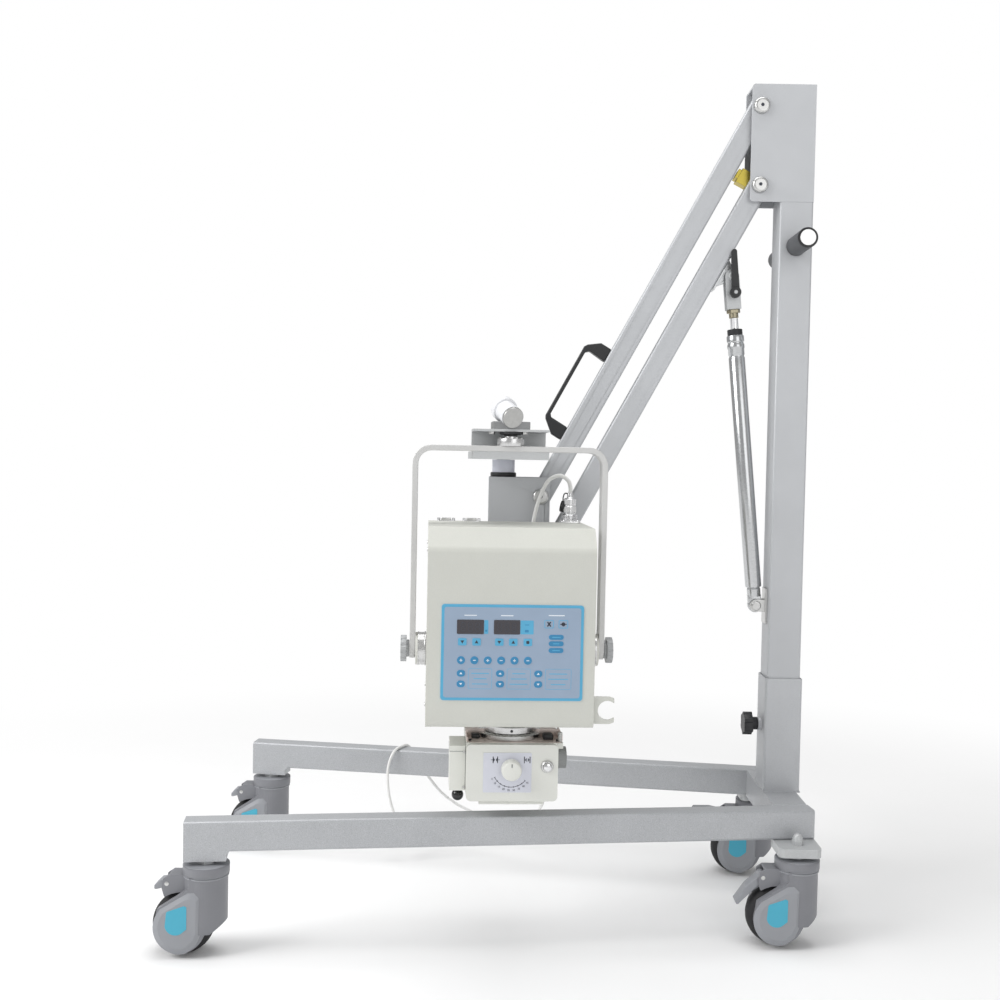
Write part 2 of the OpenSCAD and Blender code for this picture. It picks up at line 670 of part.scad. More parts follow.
module rear_housing() color("gainsboro") at_post() difference() {
    union() {
        for (s = [0, 1]) mirror([s, 0, 0]) {
            across(box_w / 2 - skin, box_w / 2) box_profile(skin);
            translate([0, -head_offset, tilt_z]) rod_x(boss_r, box_w / 2 - eps, yoke_w / 2 - yoke_t - gap);
            translate([0, -head_offset, tilt_z]) rod_x(14, box_w / 2 - 12, box_w / 2);
        }
        block([-box_w / 2, back_y - skin, box_z0 + skin], [box_w / 2, back_y, box_z1 - skin]);
        translate([36, 0, 436]) rod_y(9, back_y - eps, back_y + 5);
        translate([36, -66, 0]) rod_z(7, 436, 452);
    }
    translate([0, -head_offset, tilt_z]) rod_x(stud_r + run_gap, -200, 200);
}

module control_panel() color("steelblue") at_post() translate([2, 0, 503]) side(front_y - 1.2, front_y) round_rect(228, 154, 5);

// A C-shaped clip that holds a hand switch on the box's side.
module switch_clip() color("lightgray") at_post() side(front_y + 4, front_y + 9) difference() {
    union() {
        translate([158, 410]) circle(22);
        translate([box_w / 2, 388]) square([24, 44]);
    }
    translate([158, 410]) circle(15.5);
    translate([158, 398]) square([30, 24]);
    translate([169, 380]) square([20, 60]);
}

module top_connectors() color("whitesmoke") at_post() {
    for (x = [-104.5, -60]) translate([x, back_y - 15, box_z1]) {
        linear_extrude(3) round_rect(31, 12, 3);
        linear_extrude(6) round_rect(18, 8, 2);
    }
    translate([112.5, back_y - 20, box_z1]) {
        linear_extrude(4) round_rect(34, 34, 4);
        rod_z(14, 0, 13);
        rod_z(10.7, 12, 43);
        rod_z(5.5, 42, 53);
    }
}

// The tank with the X-ray tube, seated over the collimator's port.
module tube_tank() color("dimgray") at_post() translate([col_x, -head_offset, 0]) {
    translate([0, 0, 460]) rod_x(58, -110, 105);
    rod_z(45, box_z0 + skin + 1, 420);
}

module inverter_board() color("darkgreen") at_post() translate([0, -head_offset, 0]) {
    block([-115, -75, 540], [115, 75, 543]);
    for (x = [-80, -40, 0]) translate([x, 30, 0]) rod_z(16, 543, 600);
    block([40, -50, 543], [95, 50, 585]);
}

module head_lead() color("white") at_post() sweep(head_route, head_lead_r, 3);

// ---- Collimator ----

module at_collimator() at_post() translate([col_x, -head_offset, 0]) children();

// The ring on the box's underside that the collimator turns on.
module collimator_ring() color("silver") at_collimator() {
    rod_z(45.5, 362, box_z0 + skin + 1);
    rod_z(40, 349, 363);
    rod_z(46.5 - run_gap, 342, 350);
}

// The collimator's housing: a box with a shallow tray on top and a collar around the ring.
module collimator_case() color("beige") at_collimator() difference() {
    union() {
        side(-75, 75) translate([0, (col_z0 + col_z1) / 2]) round_rect(col_w, col_z1 - col_z0, 8);
        block([-col_w / 2, -62, 338], [84, 70, 347]);
        block([-col_w / 2, 66, 338], [84, 70, 350]);
        rod_z(56, 336, 341);
        for (s = [-1, 1]) block([s * 50 - 3, -62, 246], [s * 50 + 3, 50, col_z0 + eps]);
        block([-53, -62, 246], [53, -57, 251]);
        translate([col_w / 2 - 1, -30, 316]) rod_x(4, 0, 14);
    }
    rod_z(46.5, 341, 360);
    block([-60, -60, col_z0 + 5], [60, 60, 332]);
    rod_z(28, col_z0 - 1, col_z0 + 2);
    translate([-2, -77, 308]) rod_y(4, -4, 10);
    translate([57, -77, 312]) rod_y(5 + run_gap, -4, 20);
}

module lamp_box() color("beige") at_collimator() {
    block([-102, -54, 266], [-col_w / 2, 16, 340]);
    translate([-87, -20, 0]) rod_z(3, 248, 266 + eps);
}

module aperture_knob() color("whitesmoke") at_collimator() translate([-2, -75, 308]) {
    rod_y(16, -20, -gap);
    rod_y(3.9, -1, 5);
}

module lamp_button() color("lightgray") at_collimator() translate([57, -75, 312]) {
    rod_y(9, -9, -3.5);
    rod_y(5, -4, 8);
}

module filter_knob() color("gray") at_collimator() translate([col_w / 2, -30, 316]) difference() {
    rod_x(18, gap, 18);
    rod_x(4 + run_gap, -1, 13.6);
}

module tape_knob() color("black") at_collimator() translate([-87, -20, 0]) difference() {
    translate([0, 0, 250]) sphere(10);
    rod_z(3 + run_gap, 247.6, 262);
    block([-12, -12, 257], [12, 12, 262]);
}

// ---- Loose lead ----

module loose_lead() color("white") at_mast() sweep(loose_route, loose_lead_r, 3);

module lead_plug() color("whitesmoke") at_mast() translate([-719, 189, 0]) {
    rod_z(7, 62, 80);
    rod_z(8.5, 44, 63);
}

leg_near();
leg_far();
crossbeam();
mast_sleeve();
caster_mounts();
lead_gland();
mast_clamp();
mast_tube();
arm_bracket();
push_bar();
push_grips();
bracket_bolts();
spring_foot();
lower_arm();
arm_fittings();
upper_arm();
arm_handle();
gas_cylinder();
gas_rod();
release_block();
release_lever();
head_bracket();
head_post();
post_seal();
head_bolts();
swivel_bracket();
yoke();
bearing_ring();
swivel_lock();
tilt_knob_left();
tilt_knob_right();
front_cover();
rear_housing();
control_panel();
switch_clip();
top_connectors();
tube_tank();
inverter_board();
head_lead();
collimator_ring();
collimator_case();
lamp_box();
aperture_knob();
lamp_button();
filter_knob();
tape_knob();
caster_fork_front_near();
caster_fork_front_far();
caster_fork_rear_near();
caster_fork_rear_far();
caster_wheel_front_near();
caster_wheel_front_far();
caster_wheel_rear_near();
caster_wheel_rear_far();
caster_pedal_front_near();
caster_pedal_front_far();
caster_pedal_rear_near();
caster_pedal_rear_far();
loose_lead();
lead_plug();
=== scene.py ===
import math

import bmesh
import bpy
from mathutils import Matrix, Vector


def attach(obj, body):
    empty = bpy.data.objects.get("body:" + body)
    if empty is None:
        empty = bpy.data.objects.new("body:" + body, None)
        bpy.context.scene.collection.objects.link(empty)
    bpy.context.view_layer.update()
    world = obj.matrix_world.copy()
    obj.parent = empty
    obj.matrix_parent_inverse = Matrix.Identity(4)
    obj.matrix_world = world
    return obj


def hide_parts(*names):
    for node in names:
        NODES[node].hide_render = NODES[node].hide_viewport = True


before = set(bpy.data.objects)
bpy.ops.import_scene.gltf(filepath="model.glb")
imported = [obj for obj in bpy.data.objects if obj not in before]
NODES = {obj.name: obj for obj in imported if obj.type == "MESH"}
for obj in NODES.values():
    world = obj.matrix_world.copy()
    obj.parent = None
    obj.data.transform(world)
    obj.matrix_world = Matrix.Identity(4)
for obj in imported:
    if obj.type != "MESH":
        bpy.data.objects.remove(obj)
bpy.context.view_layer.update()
R = math.radians
SCENE = bpy.context.scene

# The stand's main sizes: metres for the mast's and head's places, millimetres and degrees for the rest.
MAST_X, HEAD_X, HEAD_YAW = 0.517, 0.002, 4
ARM_PIVOT_X, UPPER_PIVOT_Z, LOWER_PIVOT_Z = -67, 1450, 1310
ARM_LENGTH, ARM_DROP = 800, R(61.7)
SPRING_FOOT, SPRING_RISE, SPRING_REACH = (-50, 0, 554), 596, 59
POST_Y = -180                   # the head hangs this far in front of its post
TILT_Z = 492                    # height of the yoke's tilt axis
FACE_Y, BACK_Y = -286.2, -75.1  # the control panel's film and the box's back
COLLIMATOR_FACE = -75
COLLIMATOR_X = 8


# Face frames: local x to the right, local y up, local z out of the face.
def front_face(y):
    return Matrix(((1, 0, 0, 0), (0, 0, -1, y), (0, 1, 0, 0), (0, 0, 0, 1)))


def back_face(y):
    return Matrix(((1, 0, 0, 0), (0, 0, 1, y), (0, 1, 0, 0), (0, 0, 0, 1)))


def side_x(x, s):
    return Matrix(((0, 0, s, x), (s, 0, 0, 0), (0, 1, 0, 0), (0, 0, 0, 1)))


def shift(x, y, z):
    return Matrix.Translation((x, y, z))


# Body frames, in millimetres: the mast's axis, the head's post and what hangs from them.
MM = Matrix.Scale(0.001, 4)
MAST = shift(MAST_X, 0, 0) @ MM
HEAD = shift(HEAD_X, 0, 0) @ Matrix.Rotation(R(HEAD_YAW), 4, "Z") @ MM


def arm_frame(z):
    c, s = math.cos(ARM_DROP), math.sin(ARM_DROP)
    turn = Matrix(((-c, 0, -s, 0), (0, 1, 0, 0), (-s, 0, c, 0), (0, 0, 0, 1)))
    return MAST @ shift(ARM_PIVOT_X, 0, z) @ turn


UPPER = arm_frame(UPPER_PIVOT_Z)
LOWER = arm_frame(LOWER_PIVOT_Z)
SPRING_TILT = math.atan2(SPRING_REACH, SPRING_RISE)
SPRING = MAST @ shift(*SPRING_FOOT) @ Matrix.Rotation(-SPRING_TILT, 4, "Y")
TURN_X = Matrix.Rotation(R(90), 4, "Y")
TURN_Y = Matrix.Rotation(R(90), 4, "X")
FRONT = HEAD @ front_face(FACE_Y)
COL = HEAD @ shift(COLLIMATOR_X, POST_Y, 0)
COL_FRONT = COL @ front_face(COLLIMATOR_FACE)
LOCK = HEAD @ shift(-1, -196, 884) @ Matrix.Rotation(R(18), 4, "Z") @ Matrix.Rotation(R(20), 4, "X") @ TURN_Y

# The stage.
AMBIENT = 0.46
BACKDROP = 1.0
FLOOR_CENTRE = (0.1, -0.2, 0)
FLOOR_FADE = (0.9, 2.4)         # the floor turns into backdrop between these distances
AIM = Vector((0, 0, 0.7))
LIGHTS = (("key", (-3.0, -1.3, 2.6), 2.0, 88), ("fill", (1.6, -3.4, 1.8), 2.4, 22),
          ("top", (0.0, 0.2, 3.8), 2.6, 60))


# ---- Camera ----
SENSOR = 36
FOCAL = 1.19711                 # focal length over sensor width
EYE = Vector((MAST_X - 0.50022, -2.18977, 0.81331))


def make_camera():
    yaw, pitch, roll = -0.0091, -0.0348, 0.0195
    fwd = Vector((math.sin(yaw) * math.cos(pitch), math.cos(yaw) * math.cos(pitch), math.sin(pitch)))
    right = Vector((math.cos(yaw), -math.sin(yaw), 0))
    up = right.cross(fwd)
    x = right * math.cos(roll) + up * math.sin(roll)
    y = up * math.cos(roll) - right * math.sin(roll)
    cam = bpy.data.objects.new("camera", bpy.data.cameras.new("camera"))
    cam.data.sensor_width = SENSOR
    cam.data.lens = SENSOR * FOCAL
    m = Matrix((x, y, -fwd)).transposed().to_4x4()
    m.translation = EYE
    cam.matrix_world = m
    SCENE.collection.objects.link(cam)
    SCENE.camera = cam


make_camera()


# ---- Materials ----
class Graph:
    def __init__(self, name):
        self.mat = bpy.data.materials.new(name)
        self.mat.use_nodes = True
        self.tree = self.mat.node_tree
        self.tree.nodes.clear()
        self.shader = self.add("ShaderNodeBsdfPrincipled")
        out = self.add("ShaderNodeOutputMaterial")
        self.link(self.shader.outputs[0], out.inputs[0])
        coord = self.add("ShaderNodeTexCoord")
        self.coord = coord.outputs["Object"]

    def add(self, kind, **values):
        node = self.tree.nodes.new(kind)
        for key, value in values.items():
            setattr(node, key, value)
        return node

    def link(self, a, b):
        self.tree.links.new(a, b)

    def noise(self, scale, detail=3.0, rough=0.55, stretch=None):
        n = self.add("ShaderNodeTexNoise")
        n.inputs["Scale"].default_value = scale
        n.inputs["Detail"].default_value = detail
        n.inputs["Roughness"].default_value = rough
        vec = self.coord
        if stretch:
            m = self.add("ShaderNodeMapping")
            m.inputs["Scale"].default_value = stretch
            self.link(vec, m.inputs["Vector"])
            vec = m.outputs[0]
        self.link(vec, n.inputs["Vector"])
        return n.outputs["Fac"]

    def ramp(self, fac, stops):
        n = self.add("ShaderNodeValToRGB")
        while len(n.color_ramp.elements) < len(stops):
            n.color_ramp.elements.new(0.5)
        for e, (pos, col) in zip(n.color_ramp.elements, stops):
            e.position = pos
            e.color = (*col, 1)
        self.link(fac, n.inputs[0])
        return n.outputs[0]

    def mix(self, fac, a, b, mode="MIX"):
        n = self.add("ShaderNodeMix", data_type="RGBA", blend_type=mode)
        for value, index in ((fac, 0), (a, 6), (b, 7)):
            if isinstance(value, (float, int)):
                n.inputs[index].default_value = value
            elif isinstance(value, tuple):
                n.inputs[index].default_value = (*value, 1)
            else:
                self.link(value, n.inputs[index])
        return n.outputs[2]

    def span(self, fac, low, high):
        n = self.add("ShaderNodeMapRange")
        n.inputs["To Min"].default_value = low
        n.inputs["To Max"].default_value = high
        self.link(fac, n.inputs["Value"])
        return n.outputs[0]

    def bump(self, height, strength, distance=0.0005):
        n = self.add("ShaderNodeBump")
        n.inputs["Strength"].default_value = strength
        n.inputs["Distance"].default_value = distance
        self.link(height, n.inputs["Height"])
        self.link(n.outputs[0], self.shader.inputs["Normal"])

    def set(self, **values):
        for key, value in values.items():
            self.shader.inputs[key.replace("_", " ")].default_value = value
        return self

    # White on the shape's edges, black on its faces: the mask for a painted edge highlight.
    def edge(self, radius=0.0012):
        bevel = self.add("ShaderNodeBevel", samples=4)
        bevel.inputs["Radius"].default_value = radius
        geo = self.add("ShaderNodeNewGeometry")
        dot = self.add("ShaderNodeVectorMath", operation="DOT_PRODUCT")
        self.link(bevel.outputs[0], dot.inputs[0])
        self.link(geo.outputs["Normal"], dot.inputs[1])
        return self.ramp(dot.outputs["Value"], [(0.72, (1, 1, 1)), (0.97, (0, 0, 0))])


def srgb(r, g, b):
    return tuple((c / 255 / 12.92) if c <= 10 else ((c / 255 + 0.055) / 1.055) ** 2.4 for c in (r, g, b))


def shade(col, k):
    return tuple(min(1.0, c * k) for c in col)


def paint(name, col, rough=0.5, metallic=0.0, grain=1400, spread=0.16, bump=0.25, dirt=0.06, coat=0.0):
    g = Graph(name)
    fine = g.noise(grain, 2, 0.7)
    base = g.ramp(fine, [(0.36, shade(col, 1 - spread)), (0.5, col), (0.66, shade(col, 1 + spread))])
    cloud = g.ramp(g.noise(9, 4), [(0.35, (1 - dirt, 1 - dirt, 1 - dirt)), (0.65, (1, 1, 1))])
    base = g.mix(1.0, base, cloud, "MULTIPLY")
    # Painted highlight: the coat's edges are painted 30% lighter than its faces.
    edge_highlight = g.mix(g.edge(), base, shade(col, 1.3))
    g.link(edge_highlight, g.shader.inputs["Base Color"])
    g.link(g.span(g.noise(60, 3), rough - 0.06, rough + 0.08), g.shader.inputs["Roughness"])
    g.bump(fine, bump, 0.0003)
    g.set(Metallic=metallic, Coat_Weight=coat, Coat_Roughness=0.25)
    return g.mat


def metal(name, col, rough=0.25, brushed=(1, 1, 40), scratches=0.3):
    g = Graph(name)
    lines = g.noise(160, 4, 0.6, brushed)
    g.link(g.ramp(lines, [(0.3, shade(col, 0.86)), (0.7, col)]), g.shader.inputs["Base Color"])
    g.link(g.span(lines, rough - 0.08, rough + 0.14), g.shader.inputs["Roughness"])
    g.bump(lines, scratches, 0.0001)
    g.set(Metallic=1.0)
    return g.mat


def plastic(name, col, rough=0.45, grain=900, bump=0.12, coat=0.0):
    g = Graph(name)
    fine = g.noise(grain, 2)
    soft = g.ramp(g.noise(14, 3), [(0.3, shade(col, 0.93)), (0.7, col)])
    # Painted highlight: the plastic's edges are painted 22% lighter than its faces.
    g.link(g.mix(g.edge(0.0008), soft, shade(col, 1.22)), g.shader.inputs["Base Color"])
    g.link(g.span(g.noise(45, 3), rough - 0.05, rough + 0.08), g.shader.inputs["Roughness"])
    g.bump(fine, bump, 0.0002)
    g.set(Coat_Weight=coat, Coat_Roughness=0.15)
    return g.mat


FRAME = paint("frame_powder_coat", srgb(182, 184, 187), 0.42, 0.25, 1100, 0.2, 0.35)
# Painted light: the legs' powder coat painted lighter for the mast, arms, brackets and weld, standing in for
# how brightly they are lit.
FRAME_PAINTED_LIT = paint("frame_powder_coat_painted_lit", srgb(190, 192, 195), 0.42, 0.2, 1100, 0.14, 0.3)
BRACKET = paint("bracket_paint", srgb(190, 192, 193), 0.4, 0.3, 1300, 0.1, 0.2)
YOKE = paint("yoke_paint", srgb(205, 205, 204), 0.35, 0.15, 1500, 0.05, 0.12)
BOX = paint("box_paint", srgb(204, 205, 198), 0.5, 0.0, 1500, 0.05, 0.25, 0.04)
BOX_SIDE = paint("box_side_paint", srgb(212, 212, 206), 0.5, 0.0, 1500, 0.05, 0.25, 0.04)
SHELL = paint("collimator_shell", srgb(222, 223, 217), 0.38, 0.0, 1500, 0.03, 0.1, 0.04)
BLACK = plastic("black_plastic", srgb(34, 35, 37), 0.42)
BLACK_GLOSS = plastic("black_gloss", srgb(20, 20, 22), 0.16, 900, 0.02, 0.4)
GREY = plastic("grey_plastic", srgb(104, 105, 108), 0.45)
DARK = plastic("dark_plastic", srgb(62, 63, 66), 0.5)
GRIP = plastic("grip_rubber", srgb(84, 86, 89), 0.62, 500, 0.5)
WHITE = plastic("white_plastic", srgb(232, 233, 236), 0.36, 900, 0.05)
POST = plastic("post_plastic", srgb(226, 228, 240), 0.4, 900, 0.05)
CASTER = plastic("caster_plastic", srgb(130, 131, 136), 0.42, 1100, 0.3)
CASTER_LIGHT = plastic("caster_pedal_plastic", srgb(150, 152, 157), 0.4, 1100, 0.25)
TYRE = plastic("tyre_rubber", srgb(36, 36, 38), 0.66, 400, 0.4)
HUB = plastic("hub_plastic", srgb(92, 93, 96), 0.5)
TEAL = plastic("teal_inlay", srgb(72, 172, 198), 0.35, 900, 0.05)
CHROME = metal("chrome", (0.82, 0.82, 0.83), 0.12, (1, 1, 6), 0.05)
STEEL = metal("zinc_steel", (0.66, 0.66, 0.65), 0.3, (1, 1, 8), 0.2)
TURNED = metal("turned_steel", (0.72, 0.72, 0.72), 0.24, (1, 1, 60), 0.3)
PINK = paint("tray_metal", srgb(226, 212, 206), 0.35, 0.35, 900, 0.08, 0.1)
SOCKET = metal("socket_chrome", (0.86, 0.86, 0.87), 0.22, (1, 1, 12), 0.1)
DISC = metal("turned_disc", (0.5, 0.5, 0.49), 0.3, (1, 1, 1), 0.25)
BRASS = metal("nut_brass", (0.4, 0.36, 0.26), 0.3, (1, 1, 4), 0.1)
SPRING_TUBE = metal("spring_tube", (0.6, 0.61, 0.62), 0.2, (1, 1, 4), 0.1)
BRACKET_DARK = paint("bracket_dark_paint", srgb(140, 141, 142), 0.4, 0.3, 1300, 0.1, 0.2)
PLATE = plastic("collimator_plate", srgb(212, 214, 224), 0.35, 1200, 0.05)
KNOB_GREY = plastic("filter_knob_grey", srgb(146, 148, 148), 0.4, 900, 0.1)
KNOB = plastic("knob_light", srgb(176, 178, 180), 0.36, 900, 0.08)


# The arm's fittings share one node: the stop near the mast is yellow, the spring's plate zinc.
def two_tone(name, low, high, z):
    g = Graph(name)
    parts = g.add("ShaderNodeSeparateXYZ")
    g.link(g.coord, parts.inputs[0])
    side = g.add("ShaderNodeMath", operation="GREATER_THAN")
    side.inputs[1].default_value = z
    g.link(parts.outputs["Z"], side.inputs[0])
    lines = g.noise(160, 4, 0.6, (1, 1, 4))
    col = g.mix(side.outputs[0], low, high)
    brushed = g.ramp(lines, [(0.3, (0.84, 0.84, 0.84)), (0.7, (1, 1, 1))])
    g.link(g.mix(1.0, col, brushed, "MULTIPLY"), g.shader.inputs["Base Color"])
    g.link(g.span(lines, 0.28, 0.46), g.shader.inputs["Roughness"])
    g.bump(lines, 0.2, 0.0001)
    g.set(Metallic=1.0)
    return g.mat


STOP_FROM_Z = 1.22              # metres: above this the fittings are the yellow stop
FITTING = two_tone("fitting_metal", (0.62, 0.63, 0.64), srgb(196, 178, 84), STOP_FROM_Z)
CORD = plastic("cord_jacket", srgb(236, 236, 234), 0.42, 700, 0.06)
PANEL = plastic("panel_film", srgb(150, 168, 190), 0.38, 1200, 0.1)
PANEL_BLUE = plastic("panel_border", srgb(86, 170, 208), 0.38, 1200, 0.08)
DISPLAY = plastic("display_window", srgb(44, 40, 48), 0.12, 900, 0.01, 0.6)
KEY = plastic("key_blue", srgb(52, 132, 178), 0.35, 900, 0.08)
INK = plastic("ink", srgb(52, 56, 66), 0.5, 900, 0.02)
INK_WHITE = plastic("ink_white", srgb(228, 234, 240), 0.5, 900, 0.02)
BOARD = plastic("board", srgb(20, 82, 42), 0.4)


# ---- Meshes ----
def piece(bm, name, mat, body, place, angle=32, weld=False):
    bmesh.ops.transform(bm, matrix=place, verts=bm.verts)
    if weld:
        bmesh.ops.remove_doubles(bm, verts=bm.verts, dist=1e-6)
    bmesh.ops.recalc_face_normals(bm, faces=bm.faces)
    me = bpy.data.meshes.new(name)
    bm.to_mesh(me)
    bm.free()
    me.shade_smooth()
    me.set_sharp_from_angle(angle=R(angle))
    for m in mat if isinstance(mat, (list, tuple)) else [mat]:
        me.materials.append(m)
    ob = bpy.data.objects.new(name, me)
    SCENE.collection.objects.link(ob)
    if body:
        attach(ob, body)
    return ob


def add_box(bm, lo, hi, r=1.0, seg=3):
    lo, hi = Vector(lo), Vector(hi)
    made = bmesh.ops.create_cube(bm, size=1.0)["verts"]
    size = hi - lo
    for v in made:
        v.co = Vector([lo[i] + (v.co[i] + 0.5) * size[i] for i in range(3)])
    edges = {e for v in made for e in v.link_edges}
    bmesh.ops.bevel(bm, geom=list(edges), offset=min(r, min(size) * 0.49), segments=seg, profile=0.5,
                    affect="EDGES")


# Turns a profile of (radius, height) round local z. mats gives each step of the profile its slot.
def add_lathe(bm, profile, place=Matrix(), n=48, mats=None):
    rings = []
    for i in range(n):
        a = R(360.0 * i / n)
        rings.append([bm.verts.new(place @ Vector((r * math.cos(a), r * math.sin(a), z))) for r,
            z in profile])
    for i in range(n):
        a, b = rings[i], rings[(i + 1) % n]
        for k in range(len(profile) - 1):
            if profile[k][0] < 1e-6 and profile[k + 1][0] < 1e-6:
                continue
            f = bm.faces.new((a[k], b[k], b[k + 1], a[k + 1]))
            f.material_index = mats[k] if mats else 0


# A lathe profile: a disc from z0 to z1 with both rims rounded.
def disc(r, z0, z1, bevel, seg=3):
    turns = [R(90 * i / seg) for i in range(seg + 1)]
    pts = [(0, z0)]
    pts += [(r - bevel + bevel * math.sin(a), z0 + bevel - bevel * math.cos(a)) for a in turns]
    pts += [(r - bevel + bevel * math.cos(a), z1 - bevel + bevel * math.sin(a)) for a in turns]
    return pts + [(0, z1)]


# An outline drawn out from z0 to z1, with both rims chamfered or rounded.
def add_prism(bm, outline, z0, z1, place=Matrix(), bevel=0.0, seg=2):
    low = [bm.verts.new(place @ Vector((x, y, z0))) for x, y in outline]
    high = [bm.verts.new(place @ Vector((x, y, z1))) for x, y in outline]
    n = len(outline)
    faces = [bm.faces.new(low[::-1]), bm.faces.new(high)]
    for i in range(n):
        faces.append(bm.faces.new((low[i], low[(i + 1) % n], high[(i + 1) % n], high[i])))
    if bevel > 0:
        rim = list({e for f in faces[:2] for e in f.edges})
        bmesh.ops.bevel(bm, geom=rim, offset=bevel, segments=seg, profile=0.5, affect="EDGES")


# A plate whose edge slopes in from its outer outline to its face.
def add_taper(bm, outer, inner, z0, z1, place):
    low = [bm.verts.new(place @ Vector((x, y, z0))) for x, y in outer]
    high = [bm.verts.new(place @ Vector((x, y, z1))) for x, y in inner]
    n = len(outer)
    bm.faces.new(low[::-1])
    bm.faces.new(high)
    for i in range(n):
        bm.faces.new((low[i], low[(i + 1) % n], high[(i + 1) % n], high[i]))


# Outlines: an arc, a circle, and a rectangle with rounded corners.
def arc_points(cx, cy, r, a0, a1, n):
    turns = [R(a0 + (a1 - a0) * i / n) for i in range(n + 1)]
    return [(cx + r * math.cos(a), cy + r * math.sin(a)) for a in turns]


def rrect(cx, cy, w, h, r, n=5):
    pts = []
    for sx, sy, a in ((1, 1, 0), (-1, 1, 90), (-1, -1, 180), (1, -1, 270)):
        pts += arc_points(cx + sx * (w / 2 - r), cy + sy * (h / 2 - r), r, a, a + 90, n)
    return pts


def ring_outline(cx, cy, r, n=32):
    return arc_points(cx, cy, r, 0, 360, n)[:n]


# A flat frame between two outlines with the same number of points.
def add_frame(bm, outer, inner, z0, z1, place=Matrix()):
    n = len(outer)
    loops = []
    for pts, z in ((outer, z0), (outer, z1), (inner, z1), (inner, z0)):
        loops.append([bm.verts.new(place @ Vector((x, y, z))) for x, y in pts])
    for k in range(4):
        a, b = loops[k], loops[(k + 1) % 4]
        for i in range(n):
            bm.faces.new((a[i], a[(i + 1) % n], b[(i + 1) % n], b[i]))


# Gives a CAD node its material and rounds its sharp edges; bevel is in millimetres.
def dress(node, mat, bevel=0.0, seg=2):
    ob = NODES[node]
    ob.data.materials.clear()
    ob.data.materials.append(mat)
    if bevel:
        weld = ob.modifiers.new("weld", "WELD")
        weld.merge_threshold = 1e-6
        b = ob.modifiers.new("bevel", "BEVEL")
        b.width = bevel / 1000
        b.segments = seg
        b.limit_method = "ANGLE"
        b.angle_limit = R(40)
        b.harden_normals = True
        b.use_clamp_overlap = True


# ---- Cords ----
def cord_curve(name, points, radius, place, body):
    cu = bpy.data.curves.new(name, "CURVE")
    cu.dimensions = "3D"
    cu.bevel_depth = radius
    cu.bevel_resolution = 5
    cu.resolution_u = 8
    cu.use_fill_caps = True
    sp = cu.splines.new("BEZIER")
    sp.bezier_points.add(len(points) - 1)
    pts = [place @ Vector(p) for p in points]
    for i, (bp, p) in enumerate(zip(sp.bezier_points, pts)):
        a, b = pts[max(0, i - 1)], pts[min(len(pts) - 1, i + 1)]
        t = (b - a) / 6
        bp.co = p
        bp.handle_left_type = bp.handle_right_type = "FREE"
        bp.handle_left = p - t
        bp.handle_right = p + t
    cu.materials.append(CORD)
    ob = bpy.data.objects.new(name, cu)
    SCENE.collection.objects.link(ob)
    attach(ob, body)
    length = sum((pts[i + 1] - pts[i]).length for i in range(len(pts) - 1))
    return ob, pts, length


HEAD_ROUTE = [(112.5, -95, 755), (112.5, -95, 765), (108, -93, 777), (94, -86, 785), (76, -77, 776),
    (65, -70, 755), (57, -66, 730), (51, -66, 700), (44, -66, 640), (38, -66, 560), (36, -66, 500),
    (36, -66, 468), (36, -66, 452)]
LOOSE_ROUTE = [(-433, 160, 190), (-433, 152, 188), (-426, 144, 178), (-423, 142, 158), (-427, 152, 132),
    (-441, 176, 104), (-468, 206, 82), (-500, 232, 72), (-535, 248, 74), (-566, 255, 83), (-600, 260, 98),
    (-632, 262, 121), (-658, 261, 152), (-680, 260, 185), (-694, 257, 208), (-701, 251, 219),
    (-707, 241, 222.5), (-714, 226, 222.5), (-721, 212, 222), (-728, 203, 214), (-734, 198, 199),
    (-737, 195, 180), (-736, 194, 150), (-731, 192, 122), (-723, 190, 97), (-719, 189, 80)]
head_lead, pts, span = cord_curve("head_lead_cord", HEAD_ROUTE, 0.0035, HEAD, "head")
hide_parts("head_lead")
loose, pts, span = cord_curve("loose_lead_cord", LOOSE_ROUTE, 0.00275, MAST, "base")
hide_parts("loose_lead")

